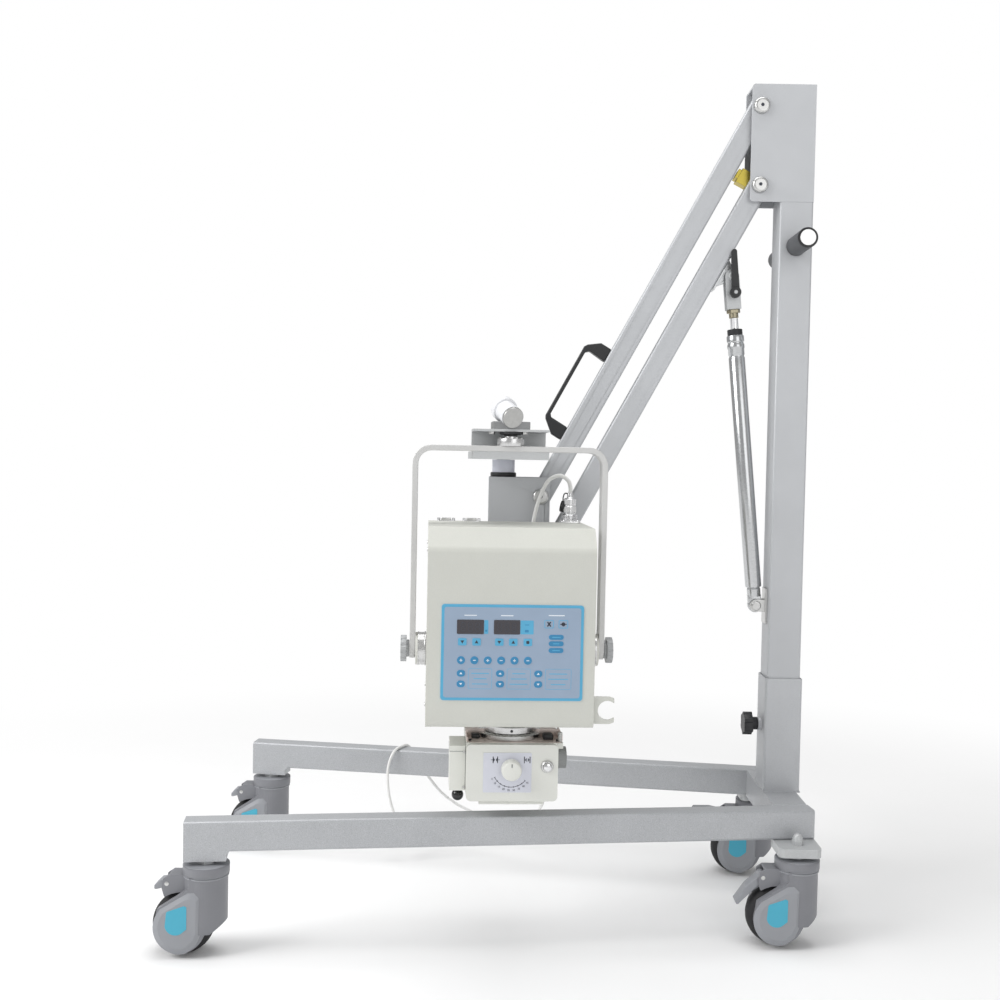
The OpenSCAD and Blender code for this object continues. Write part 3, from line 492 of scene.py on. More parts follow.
# ---- CAD nodes ----
LOOKS = (               # CAD node, material, edge radius in millimetres, steps of the edge
    ("leg_near", FRAME, 1.2, 2),
    ("leg_far", FRAME, 1.2, 2),
    ("crossbeam", FRAME, 1.2, 2),
    ("mast_sleeve", FRAME_PAINTED_LIT, 0.8, 2),
    ("mast_tube", FRAME_PAINTED_LIT, 0.8, 2),
    ("arm_bracket", FRAME_PAINTED_LIT, 0.8, 2),
    ("lower_arm", FRAME_PAINTED_LIT, 0.8, 2),
    ("upper_arm", FRAME_PAINTED_LIT, 0.8, 2),
    ("head_bracket", FRAME_PAINTED_LIT, 0.8, 2),
    ("caster_mounts", BRACKET, 1.2, 2),
    ("bracket_bolts", STEEL, 0.5, 2),
    ("head_bolts", STEEL, 0.5, 2),
    ("spring_foot", STEEL, 0.5, 2),
    ("lead_gland", WHITE, 0.6, 2),
    ("lead_plug", WHITE, 0.8, 2),
    ("mast_clamp", BLACK, 1.5, 2),
    ("push_bar", TURNED, 0.8, 2),
    ("push_grips", GRIP, 1.5, 2),
    ("arm_fittings", FITTING, 0.8, 2),
    ("arm_handle", BLACK, 2.5, 3),
    ("gas_cylinder", CHROME, 0.8, 2),
    ("gas_rod", CHROME, 0.5, 2),
    ("release_block", BRACKET, 1.0, 2),
    ("release_lever", BLACK, 1.0, 2),
    ("head_post", POST, 1.0, 2),
    ("post_seal", BLACK, 1.5, 2),
    ("swivel_bracket", BRACKET, 1.0, 2),
    ("yoke", YOKE, 1.2, 2),
    ("bearing_ring", TURNED, 0.8, 2),
    ("swivel_lock", WHITE, 1.2, 2),
    ("tilt_knob_left", GREY, 0.8, 2),
    ("tilt_knob_right", GREY, 0.8, 2),
    ("front_cover", BOX, 0.5, 2),
    ("rear_housing", BOX_SIDE, 0.5, 2),
    ("control_panel", PANEL_BLUE, 0, 2),
    ("switch_clip", BOX, 0.6, 2),
    ("top_connectors", WHITE, 0.8, 2),
    ("tube_tank", DARK, 0, 2),
    ("inverter_board", BOARD, 0, 2),
    ("collimator_ring", TURNED, 0.6, 2),
    ("collimator_case", SHELL, 1.0, 2),
    ("lamp_box", SHELL, 3.0, 3),
    ("aperture_knob", WHITE, 1.5, 2),
    ("lamp_button", CHROME, 1.0, 2),
    ("filter_knob", GREY, 1.2, 2),
    ("tape_knob", BLACK_GLOSS, 0, 2),
)
for node, mat, bevel, seg in LOOKS:
    dress(node, mat, bevel, seg)
CORNERS = {             # where each caster swivels, from the mast's axis
    "front_near": (-984, -267), "front_far": (-984, 267),
    "rear_near": (-3, -177), "rear_far": (-3, 177)}
for c in CORNERS:
    dress("caster_fork_" + c, CASTER, bevel=1.5)
    dress("caster_wheel_" + c, TYRE)
    dress("caster_pedal_" + c, CASTER_LIGHT, bevel=1.0)

# ---- Casters ----
TYRE_FROM = 39                  # the tyre begins at this radius, in millimetres


def make_caster(corner, x, y):
    at = MAST @ shift(x, y, 0)
    bearing = at @ shift(-35, 0, 50) @ TURN_Y
    half = [(6.1, -17.5), (13, -17.5), (14, -16), (29, -15), (31, -17), (37.5, -17.8), (39, -16.6),
        (41, -17.6), (45.5, -15.2), (48.8, -10.5), (50, -4)]
    profile = half + [(r, -z) for r, z in reversed(half)] + [half[0]]
    tyre = [min(a[0], b[0]) >= TYRE_FROM for a, b in zip(profile, profile[1:])]
    bm = bmesh.new()
    add_lathe(bm, profile, n=96, mats=[0 if t else 1 for t in tyre])
    wheel = piece(bm, "wheel_" + corner, (TYRE, HUB), "caster_wheel_" + corner, bearing, weld=True)
    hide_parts("caster_wheel_" + corner)
    outline = [(-9, 108), (-22, 107), (-66, 80)]
    outline += arc_points(-35, 50, 42.5, 150, 286, 24)
    outline += [(-8, 22), (-1, 38), (0, 104)]
    label = arc_points(-50, 74, 5, 90, 160, 4)[::-1]
    label += [(-26, 88), (-22, 86), (-22, 50)]
    label += arc_points(-40, 57, 17, 300, 190, 10)
    top = [(-34 + 0.79 * (x + 34), 60 + 0.8 * (z - 60)) for x, z in outline]
    bm = bmesh.new()
    for face in (front_face(-32.9), back_face(32.9)):
        add_taper(bm, outline, top, 0, 4.6, face)
    cover = piece(bm, "fork_cover_" + corner, CASTER_LIGHT, "caster_fork_" + corner, at, angle=16)
    bm = bmesh.new()
    for face in (front_face(-37.4), back_face(37.4)):
        add_prism(bm, label[::-1], 0, 0.6, face, bevel=0.25, seg=1)
    piece(bm, "fork_inlay_" + corner, TEAL, "caster_fork_" + corner, at)
    bm = bmesh.new()
    add_lathe(bm, [(34.9, 126.5), (36.6, 127.3), (36.6, 129), (35.2, 130), (35.2, 131.9), (34, 131.9),
        (34, 126.5), (34.9, 126.5)], n=64)
    add_lathe(bm, [(11, 145.9), (36.2, 145.9), (36.8, 146.5), (36.2, 147), (20, 147.4), (11, 147.2),
        (11, 145.9)], n=64)
    piece(bm, "fork_collar_" + corner, CASTER_LIGHT, "caster_fork_" + corner, at, weld=True)
    bm = bmesh.new()
    for s in (-1, 1):
        axle = shift(-60, 0, 116) @ Matrix.Rotation(R(90 * s), 4, "X")
        add_lathe(bm, [(0, 17.6), (2.8, 17.4), (4.6, 16.4), (4.8, 15), (0, 15)], axle, n=24)
    piece(bm, "pedal_rivets_" + corner, STEEL, "caster_fork_" + corner, at, weld=True)


for c, (cx, cy) in CORNERS.items():
    make_caster(c, cx, cy)


# ---- Control panel ----
DISPLAY_Z, SQUARE_Z, ROUND_Z, ICON_Z = 544, 520, 490.5, 549.6   # the rows of the panel
PAIR_Z = (469.5, 452.5)
OVAL_Z = (528.6, 518.2, 507.4)


# Thin plates on the panel, or on another face.
def plates(name, shapes, mat, z0, z1, bevel=0.15, body="head", place=FRONT):
    bm = bmesh.new()
    for pts in shapes:
        add_prism(bm, pts, z0, z1, bevel=bevel, seg=1)
    piece(bm, name, mat, body, place)


def frames(name, rects, z0, z1, line):
    bm = bmesh.new()
    for x, y, w, h, r in rects:
        inner = rrect(x, y, w - 2 * line, h - 2 * line, max(0.2, r - line))
        add_frame(bm, rrect(x, y, w, h, r), inner, z0, z1)
    piece(bm, name, PANEL_BLUE, "head", FRONT)


def bar(x, z, length, height=1.3, r=0.5):
    return rrect(x, z, length, height, r, 2)


def make_panel():
    plates("panel_field", [rrect(2, 503, 219, 145, 4)], PANEL, 0.0, 0.25)
    windows = [rrect(-65.8, DISPLAY_Z, 43, 23, 1.5), rrect(-7.3, DISPLAY_Z, 42, 23, 1.5)]
    plates("panel_windows", windows, DISPLAY, 0.2, 0.8)
    segs = []
    for x in (-77.5, -66, -54.5, -19, -7.5, 4):
        segs += [bar(x, DISPLAY_Z + dz, 5.2, 1, 0.3) for dz in (6.6, 0, -6.6)]
        segs += [bar(x + dx, DISPLAY_Z + dz, 1, 5, 0.3) for dz in (3.3, -3.3) for dx in (-2.9, 2.9)]
    plates("panel_segments", segs, INK, 0.75, 0.85, 0)
    strips = [rrect(-40.5, DISPLAY_Z, 6.5, 22, 1), rrect(24.8, DISPLAY_Z, 21, 22, 1)]
    plates("panel_strips", strips, PANEL_BLUE, 0.2, 0.4, 0)
    units = [rrect(-40.5, 538, 3.6, 3, 0.6), rrect(24.5, 538, 6, 4, 0.8), rrect(24.5, 548, 7, 1.2, 0.4)]
    plates("panel_units", units, KEY, 0.38, 0.5, 0)
    squares = (-78.4, -55.6, -19.3, 3.1, 26.4)
    keys = [rrect(x, SQUARE_Z, 13.5, 11.5, 1.6) for x in squares]
    plates("panel_keys_square", keys, PANEL_BLUE, 0.2, 0.9, 0.35)
    arrows = []
    for i, x in enumerate(squares[:4]):
        s = 1 if i % 2 else -1
        foot = SQUARE_Z - 2.2 * s
        arrows.append([(x - 3, foot), (x + 3, foot), (x, SQUARE_Z + 3 * s)][::s])
    arrows.append(rrect(squares[4], SQUARE_Z, 5, 5, 1.4))
    plates("panel_arrows", arrows, INK, 0.85, 1.0, 0)
    rounds = [-80 + 21.4 * i for i in range(6)]
    plates("panel_keys_round", [ring_outline(x, ROUND_Z, 6.4) for x in rounds], KEY, 0.2, 0.9, 0.35)
    marks = [bar(x, ROUND_Z, 4.6, 1.1, 0.4) for x in rounds]
    marks += [bar(x, ROUND_Z, 1.1, 4.6, 0.4) for x in rounds[::2]]
    plates("panel_key_marks", marks, INK_WHITE, 0.85, 0.98, 0)
    pairs = [(x, z) for x in (-79.7, -17, 44.3) for z in PAIR_Z]
    plates("panel_keys_pair", [rrect(x, z, 13, 10.5, 4.6) for x, z in pairs], KEY, 0.2, 0.9, 0.35)
    marks = []
    for x, z in pairs:
        if z == PAIR_Z[0]:
            marks.append([(x - 2.4, z - 1.4), (x + 2.4, z - 1.4), (x, z + 1.8)])
        else:
            marks.append([(x - 2.4, z + 1.4), (x, z - 1.8), (x + 2.4, z + 1.4)])
    plates("panel_pair_marks", marks, INK_WHITE, 0.85, 0.98, 0)
    boxes = [(x + w / 2, 461, w, 33, 2.5) for x, w in ((-68, 38), (-6, 38), (55.5, 42))]
    frames("panel_label_frames", boxes, 0.2, 0.36, 0.5)
    bars = []
    for i, (x, z, w, h, r) in enumerate(boxes):
        for k, dz in enumerate((8.5, 0, -8.5)):
            bars.append(bar(x, z + dz, (w - 8) * (0.95, 0.7, 0.85)[(i + k) % 3]))
    plates("panel_label_bars", bars, PANEL_BLUE, 0.2, 0.34, 0)
    plates("panel_ovals", [rrect(72, z, 24, 8, 3.9) for z in OVAL_Z], KEY, 0.2, 0.7, 0.25)
    marks = [bar(72, z, w, 1.2) for z, w in zip(OVAL_Z, (14, 10, 12))]
    plates("panel_oval_marks", marks, PANEL_BLUE, 0.66, 0.76, 0)
    frames("panel_icon_frames", [(x, ICON_Z, 15, 13, 2) for x in (60, 83)], 0.2, 0.5, 0.9)
    icon = [[(56.5, 546.5), (58.2, 545.4), (63.5, 552.7), (61.8, 553.8)],
            [(56.5, 552.7), (61.8, 545.4), (63.5, 546.5), (58.2, 553.8)]]
    icon += [ring_outline(83, ICON_Z, 3.2, 16), bar(83, ICON_Z, 11, 1.1, 0.4)]
    plates("panel_icons", icon, INK, 0.5, 0.62, 0)
    header = [bar(x, z, w, 1.5, 0.6) for x, z, w in ((-65.8, 562.5, 20), (-7.3, 562.5, 20), (72, 563.5, 26))]
    plates("panel_header", header, INK_WHITE, 0.2, 0.34, 0)


make_panel()


# ---- Generator box ----
def screw(bm, place, r=3.2, h=1.4):
    socket = r * 0.42
    profile = [(0, 0), (r, 0), (r, h * 0.4), (r * 0.8, h), (socket, h), (socket, h * 0.35), (0, h * 0.35)]
    add_lathe(bm, profile, place, n=20)


def make_box_trim():
    bm = bmesh.new()
    for s in (-1, 1):
        for z in (415, 665):
            for y in (-95, -265):
                screw(bm, side_x(s * 135.4, s) @ shift(y * s, z, 0), 3.6, 1.8)
    for x in (-105, 0, 105):
        for z in (400, 540, 688):
            screw(bm, back_face(BACK_Y) @ shift(x, z, 0), 3.2, 1.4)
    for x, y in ((-58, -88), (74, -88), (-58, -270), (74, -270)):
        screw(bm, shift(x, y, 381.1) @ Matrix.Rotation(R(180), 4, "X"), 3.2, 1.4)
    piece(bm, "box_screws", STEEL, "head", HEAD, weld=True)
    bm = bmesh.new()
    for x in (-60, -30, 0, 30, 60):
        for k in range(9):
            add_prism(bm, rrect(x, 610 + k * 7, 22, 2.6, 1.2, 3), 0, 0.5, back_face(BACK_Y), bevel=0.2, seg=1)
    piece(bm, "box_vents", DARK, "head", HEAD)
    bm = bmesh.new()
    add_frame(bm, rrect(0, 543, 250, 300, 8), rrect(0, 543, 247.6, 297.6, 7), 0, 0.45, back_face(BACK_Y))
    piece(bm, "box_back_seam", DARK, "head", HEAD)
    bm = bmesh.new()
    for s in (-1, 1):
        add_lathe(bm, [(27.1, 0), (28.6, 0.4), (28.6, 2.2), (27.3, 2.8), (27.3, 11.5), (28.2, 12),
            (28.2, 13.6), (27.1, 13.9), (27.1, 0)], side_x(s * 136, s) @ shift(s * POST_Y, TILT_Z, 0), n=64)
        add_lathe(bm, [(15, 17), (24.5, 17), (26.2, 15.6), (26.2, 14), (15, 14), (15, 17)],
            side_x(s * 136.4, s) @ shift(s * POST_Y, TILT_Z, 0), n=64)
    piece(bm, "tilt_boss_rings", TURNED, "head", HEAD, weld=True)


make_box_trim()


# ---- Sockets on the box's top ----
PLUG_X, PLUG_Y = 112.5, -95     # the head lead's connector


def make_sockets():
    bm = bmesh.new()
    for x in (-104.5, -60):
        add_prism(bm, rrect(x, -90, 31, 12, 3), 701.9, 703.2, bevel=0.4, seg=2)
        for dx in (-13, 13):
            add_lathe(bm, [(0, 703), (2.6, 703), (2.6, 706.8), (2.1, 707.6), (0, 707.6)],
                shift(x + dx, -90, 0), n=6)
    add_prism(bm, rrect(PLUG_X, PLUG_Y, 34, 34, 4), 701.9, 705.5, bevel=0.8, seg=2)
    for dx in (-12.5, 12.5):
        for dy in (-12.5, 12.5):
            add_lathe(bm, [(0, 705), (3.1, 705), (3.1, 706.6), (2, 708), (0, 708)],
                shift(PLUG_X + dx, PLUG_Y + dy, 0), n=20)
    profile = [(0, 705), (14, 705), (14, 707.5), (12.6, 708.5)]
    for k in range(5):
        profile += [(13.6, 709.2 + 1.8 * k), (12.7, 710.1 + 1.8 * k)]
    profile += [(9.5, 718.5), (9.5, 720), (10.7, 721), (10.7, 731), (9.8, 732), (9.8, 734), (10.7, 735),
        (10.7, 744), (9, 745.5), (6.5, 746), (5.5, 747), (5.5, 751), (4.6, 755), (0, 755)]
    add_lathe(bm, profile, shift(PLUG_X, PLUG_Y, 0), n=48)
    base = piece(bm, "top_sockets", SOCKET, "head", HEAD, weld=True)
    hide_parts("top_connectors")
    bm = bmesh.new()
    for x in (-104.5, -60):
        add_prism(bm, rrect(x, -90, 18, 8, 2), 703.5, 707.5, bevel=0.8, seg=2)
        for k in range(6):
            add_box(bm, (x - 7.5 + 2.7 * k, -92.8, 707), (x - 6.2 + 2.7 * k, -87.2, 708.2), 0.3, 1)
    for k in range(18):
        x, y = PLUG_X + 10.6 * math.cos(R(20 * k)), PLUG_Y + 10.6 * math.sin(R(20 * k))
        add_box(bm, (x - 0.5, y - 0.5, 722), (x + 0.5, y + 0.5, 730), 0.3, 1)
    piece(bm, "socket_cores", STEEL, "head", HEAD)
    bm = bmesh.new()
    add_lathe(bm, [(0, -7), (7, -6.5), (9.6, -4), (10, 0), (10, 6), (9, 7), (7.8, 7), (7.8, 3), (0, 3)],
        shift(103.5, -86, 730) @ Matrix.Rotation(R(-78), 4, "Y"), n=32)
    piece(bm, "dust_cap", BLACK, "head", HEAD, weld=True)
    cu = bpy.data.curves.new("cap_strap", "CURVE")
    cu.dimensions = "3D"
    cu.bevel_depth = 0.0011
    cu.bevel_resolution = 3
    sp = cu.splines.new("BEZIER")
    strap = [(101, -88, 738), (101, -90, 748), (104, -92, 754), (108, -93, 753), (109, -94, 748)]
    sp.bezier_points.add(len(strap) - 1)
    for bp, p in zip(sp.bezier_points, strap):
        bp.co = HEAD @ Vector(p)
        bp.handle_left_type = bp.handle_right_type = "AUTO"
    cu.materials.append(BLACK)
    ob = bpy.data.objects.new("cap_strap", cu)
    SCENE.collection.objects.link(ob)
    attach(ob, "head")


make_sockets()


# ---- Collimator ----
def dial_number(text, x, y, name):
    cu = bpy.data.curves.new(name, "FONT")
    cu.body = text
    cu.size = 0.0042
    cu.extrude = 0.00008
    cu.align_x = "CENTER"
    cu.align_y = "CENTER"
    cu.materials.append(INK)
    ob = bpy.data.objects.new(name, cu)
    SCENE.collection.objects.link(ob)
    m = COL_FRONT @ shift(x, y, 1.25)
    ob.matrix_world = Matrix.Translation(m.translation) @ m.to_3x3().normalized().to_4x4()
    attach(ob, "collimator")


DIAL = (-2, 308)                # the aperture knob's axis on the collimator's face
DIAL_SPAN = (-152, -40)         # the scale's two ends, in degrees
LAMP_BUTTON = COL_FRONT @ shift(57, 312, 0)


def make_collimator():
    plates("collimator_plate", [rrect(-8, 301.5, 79, 65, 1.5)], PLATE, -0.2, 0.9, 0.3, "collimator",
        COL_FRONT)
    kx, kz = DIAL
    knob_place = COL_FRONT @ shift(kx, kz, 0)
    bm = bmesh.new()
    n = 40
    lo, hi = DIAL_SPAN
    outer = arc_points(kx, kz, 30.6, lo, hi, n)
    inner = arc_points(kx, kz, 29.7, lo, hi, n)
    for i in range(n):
        add_prism(bm, [outer[i], outer[i + 1], inner[i + 1], inner[i]], 0.85, 1.02)
    for k in range(9):
        a = R(lo + (hi - lo) * k / 8)
        t = Vector((-math.sin(a), math.cos(a))) * 0.35
        out = Vector((math.cos(a), math.sin(a)))
        p, q = Vector(DIAL) + out * 28.6, Vector(DIAL) + out * 31.6
        add_prism(bm, [tuple(p - t), tuple(q - t), tuple(q + t), tuple(p + t)], 0.85, 1.03)
    for sx in (-1, 1):
        cx = kx + 26 * sx
        for dx in (-3.6, 3.6) if sx < 0 else (-4.6, 4.6):
            add_prism(bm, rrect(cx + dx, 322.7, 1.5, 11, 0.5, 2), 0.85, 1.03)
        for d in (-1, 1):
            tip = 0.6 if sx < 0 else 3.6
            foot = 3.0 if sx < 0 else 1.0
            add_prism(bm, [(cx + d * tip, 322.7), (cx + d * foot, 326.2), (cx + d * foot, 319.2)], 0.85, 1.03)
            add_prism(bm, rrect(cx + d * (5.6 if sx < 0 else 2.4), 322.7, 3, 0.9, 0.3, 2), 0.85, 1.02)
    piece(bm, "dial_marks", INK, "collimator", COL_FRONT)
    for k in range(9):
        a = R(lo + (hi - lo) * k / 8)
        dial_number(str(5 * k + 5), kx + 35 * math.cos(a), kz + 35 * math.sin(a) - 0.4, "dial_number_%d" % k)
    # Aperture knob: a round cap with a rounded rim and fine ribs round its side.
    bm = bmesh.new()
    prof = [(0, 0.7), (16, 0.7), (16.6, 1.6), (16.4, 15.5), (15.8, 17.8), (14.2, 19.4), (11.5, 20), (0, 20.2)]
    add_lathe(bm, prof, n=96)
    for k in range(48):
        x, y = 16.2 * math.cos(R(7.5 * k)), 16.2 * math.sin(R(7.5 * k))
        add_box(bm, (x - 0.35, y - 0.35, 2.5), (x + 0.35, y + 0.35, 14.6), 0.25, 1)
    knob = piece(bm, "aperture_cap", SHELL, "aperture_knob", knob_place, weld=True)
    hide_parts("aperture_knob")
    bm = bmesh.new()
    add_prism(bm, rrect(0, 9.5, 1.2, 6, 0.5, 3), 20.2, 20.5)
    piece(bm, "aperture_pointer", INK, "aperture_knob", knob_place)
    # Lamp button and its ring.
    bm = bmesh.new()
    add_lathe(bm, [(0, 3.4), (6.6, 3.4), (6.6, 6.6), (6, 7.8), (4.2, 8.8), (0, 9.2)], n=48)
    button = piece(bm, "lamp_button_cap", CHROME, "lamp_button", LAMP_BUTTON, weld=True)
    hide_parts("lamp_button")
    bm = bmesh.new()
    add_lathe(bm, [(7.2, 0), (10.6, 0), (10.6, 1.2), (9.6, 3.4), (8.4, 4.4), (7.2, 4.4), (7.2, 0)], n=48)
    piece(bm, "lamp_button_ring", TURNED, "collimator", LAMP_BUTTON, weld=True)
    # Tray: a metal liner, its rim, and the clamps beside the ring.
    bm = bmesh.new()
    add_prism(bm, rrect(4.5, 4, 155, 128, 3), 346.9, 347.5, bevel=0.2, seg=1)
    add_prism(bm, rrect(4.5, 350, 159, 20, 6), -16, -14, back_face(0), bevel=0.5, seg=2)
    add_box(bm, (81.8, -52, 341), (84.2, 16, 358), 0.6, 2)
    add_box(bm, (-75, -52, 341), (-72.8, 16, 354), 0.6, 2)
    piece(bm, "tray_liner", PINK, "collimator", COL)
    bm = bmesh.new()
    add_box(bm, (-66, -34, 347.2), (-52, -20, 355), 2, 3)
    add_box(bm, (53, -42, 347.2), (70, -22, 356.5), 2.5, 3)
    add_lathe(bm, disc(6.5, 0, 9, 1.6), shift(-64, -2, 347), n=32)
    for x, y in ((-69, -48), (76, -48), (72, 10)):
        add_lathe(bm, disc(2.6, 0, 3.2, 0.8), shift(x, y, 347.3), n=20)
    piece(bm, "tray_clamps", BLACK, "collimator", COL, weld=True)
    bm = bmesh.new()
    for k in range(6):
        add_lathe(bm, [(0, 0), (3.4, 0), (4.2, 0.8), (4.2, 1.8), (3.4, 2.6), (0, 2.6)],
            shift(80, -50, 346.5 + 2.6 * k), n=24)
    for z in (330, 272):
        screw(bm, shift(-78.4, -54.5, z) @ TURN_Y, 2.2, 1.6)
    for x in (-62, 62):
        for z in (262, 338):
            screw(bm, back_face(75) @ shift(x, z, 0), 2.8, 1.4)
    piece(bm, "collimator_hardware", STEEL, "collimator", COL, weld=True)
    # Rails and the dark window underneath.
    bm = bmesh.new()
    for s in (-1, 1):
        add_box(bm, (s * 50 - 3.4, -62.5, 245.6), (s * 50 + 3.4, 52, 247.6), 0.5, 2)
        add_box(bm, (s * 52 - 1.2, -60, 247), (s * 52 + 1.2, 52, 254.2), 0.4, 2)
    add_box(bm, (-53.4, -62.6, 245.6), (53.4, -57, 250), 0.5, 2)
    screw(bm, front_face(-62.6) @ shift(0, 248, 0), 1.7, 0.8)
    piece(bm, "filter_rails", SHELL, "collimator", COL)
    bm = bmesh.new()
    add_prism(bm, rrect(0, 0, 62, 62, 3), 251.6, 253.8, bevel=0.6, seg=2)
    piece(bm, "beam_window", DISPLAY, "collimator", COL)
    # Seams on the lamp box and its cover.
    bm = bmesh.new()
    add_box(bm, (-102.3, -54.3, 330.6), (-75.2, 16.3, 331.4), 0.2, 1)
    add_box(bm, (-76.4, -54.3, 268), (-75.6, 16.3, 340), 0.2, 1)
    piece(bm, "lamp_box_seams", GREY, "collimator", COL)
    # Ball knob with its neck.
    bm = bmesh.new()
    prof = [(0, 240.02)]
    prof += [(9.98 * math.sin(R(a)), 250 - 9.98 * math.cos(R(a))) for a in range(12, 144, 12)]
    prof += [(5.4, 258.6), (7.6, 261.6), (8.4, 262), (8.4, 265.6), (0, 265.6)]
    add_lathe(bm, prof, n=48)
    ball = piece(bm, "tape_ball", BLACK_GLOSS, "tape_knob", COL @ shift(-87, -20, 0), weld=True)
    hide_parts("tape_knob")
    # Side knob with a fluted rim.
    bm = bmesh.new()
    rim = []
    for k in range(60):
        r = 18 if k % 2 else 17.3
        rim.append((r * math.cos(R(6 * k)), r * math.sin(R(6 * k))))
    add_prism(bm, rim, 0.6, 17.2, bevel=0.8, seg=2)
    add_lathe(bm, disc(13, 16.8, 18.0, 0.5), n=40)
    side = piece(bm, "filter_cap", KNOB_GREY, "filter_knob", COL @ side_x(75, 1) @ shift(-30, 316, 0))
    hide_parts("filter_knob")
    # Turned rings between the box and the collimator.
    bm = bmesh.new()
    add_lathe(bm, [(38, 347.6), (53.5, 347.6), (54.2, 348.4), (54.2, 354.6), (53.4, 355.4), (48.5, 355.8),
        (47.8, 356.6), (38, 356.6), (38, 347.6)], n=96)
    piece(bm, "collimator_flange", TURNED, "collimator", COL, weld=True)
    bm = bmesh.new()
    add_lathe(bm, [(38, 357), (45.2, 357), (46, 357.8), (46, 367.4), (45.2, 368.2), (42.6, 368.6),
        (42.2, 370), (45.6, 370.6), (45.6, 380.9), (40, 380.9), (38, 357)], n=96)
    ring = piece(bm, "turning_ring", TURNED, "head", COL, weld=True)
    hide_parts("collimator_ring")
    bm = bmesh.new()
    for a in (-90, 30, 150):
        screw(bm, Matrix.Rotation(R(a), 4, "Z") @ shift(45.6, 0, 362.6) @ TURN_X, 2.4, 1.2)
    piece(bm, "ring_screws", DARK, "head", COL, weld=True)


make_collimator()


# ---- Swivel head ----
def make_swivel():
    bm = bmesh.new()
    add_lathe(bm, [(0, -42), (19.4, -42), (21.6, -40.4), (21.6, -29), (20.4, -27.6), (18, -27), (17.6, -26),
        (18, 4), (17, 5.4), (0, 5.4)], n=72)
    sleeve = piece(bm, "lock_sleeve", WHITE, "swivel_lock", LOCK, weld=True)
    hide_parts("swivel_lock")
    bm = bmesh.new()
    add_lathe(bm, [(0, 5), (17.2, 5), (17.9, 5.6), (18, 6.2), (18, 9.6), (17.2, 10.8), (9, 10.9), (0, 11)],
        n=72)
    piece(bm, "lock_end", DISC, "swivel_lock", LOCK, weld=True)
    bm = bmesh.new()
    for a in range(0, 360, 60):
        p = shift(17 * math.cos(R(a)), POST_Y + 17 * math.sin(R(a)), 845.5)
        add_lathe(bm, [(0, 0), (3.2, 0), (3.2, 2.4), (2.6, 3.2), (1.5, 3.2), (1.5, 1.6), (0, 1.6)], p, n=20)
    for x in (-31.6, 23):
        add_lathe(bm, [(0, 858.2), (5.4, 858.2), (5.4, 854.6), (4.8, 853.8), (0, 853.8)], shift(x, POST_Y, 0),
            n=6)
    piece(bm, "swivel_screws", STEEL, "swivel", HEAD, weld=True)
    bm = bmesh.new()
    add_lathe(bm, [(0, 858.1), (19, 858.1), (19, 854.4), (17, 853.2), (11.2, 853.2), (11.2, 850), (0, 850)],
        shift(0, POST_Y, 0), n=48)
    piece(bm, "swivel_washer", BLACK, "swivel", HEAD, weld=True)
    bm = bmesh.new()
    add_box(bm, (-31.4, -194.6, 862.1), (31.4, -131.6, 875.0), 1.4, 3)
    piece(bm, "lock_block", BRACKET_DARK, "swivel", HEAD)
    bm = bmesh.new()
    for x, y in ((-50, 18), (48, 18)):
        screw(bm, shift(x, y, 824.4), 4, 2.4)
    piece(bm, "plate_screws", STEEL, "swivel", HEAD, weld=True)


make_swivel()


# ---- Mast, arms and gas spring ----
BOLT_FACE = 37.95               # millimetres from the arms' middle to the bolts' faces


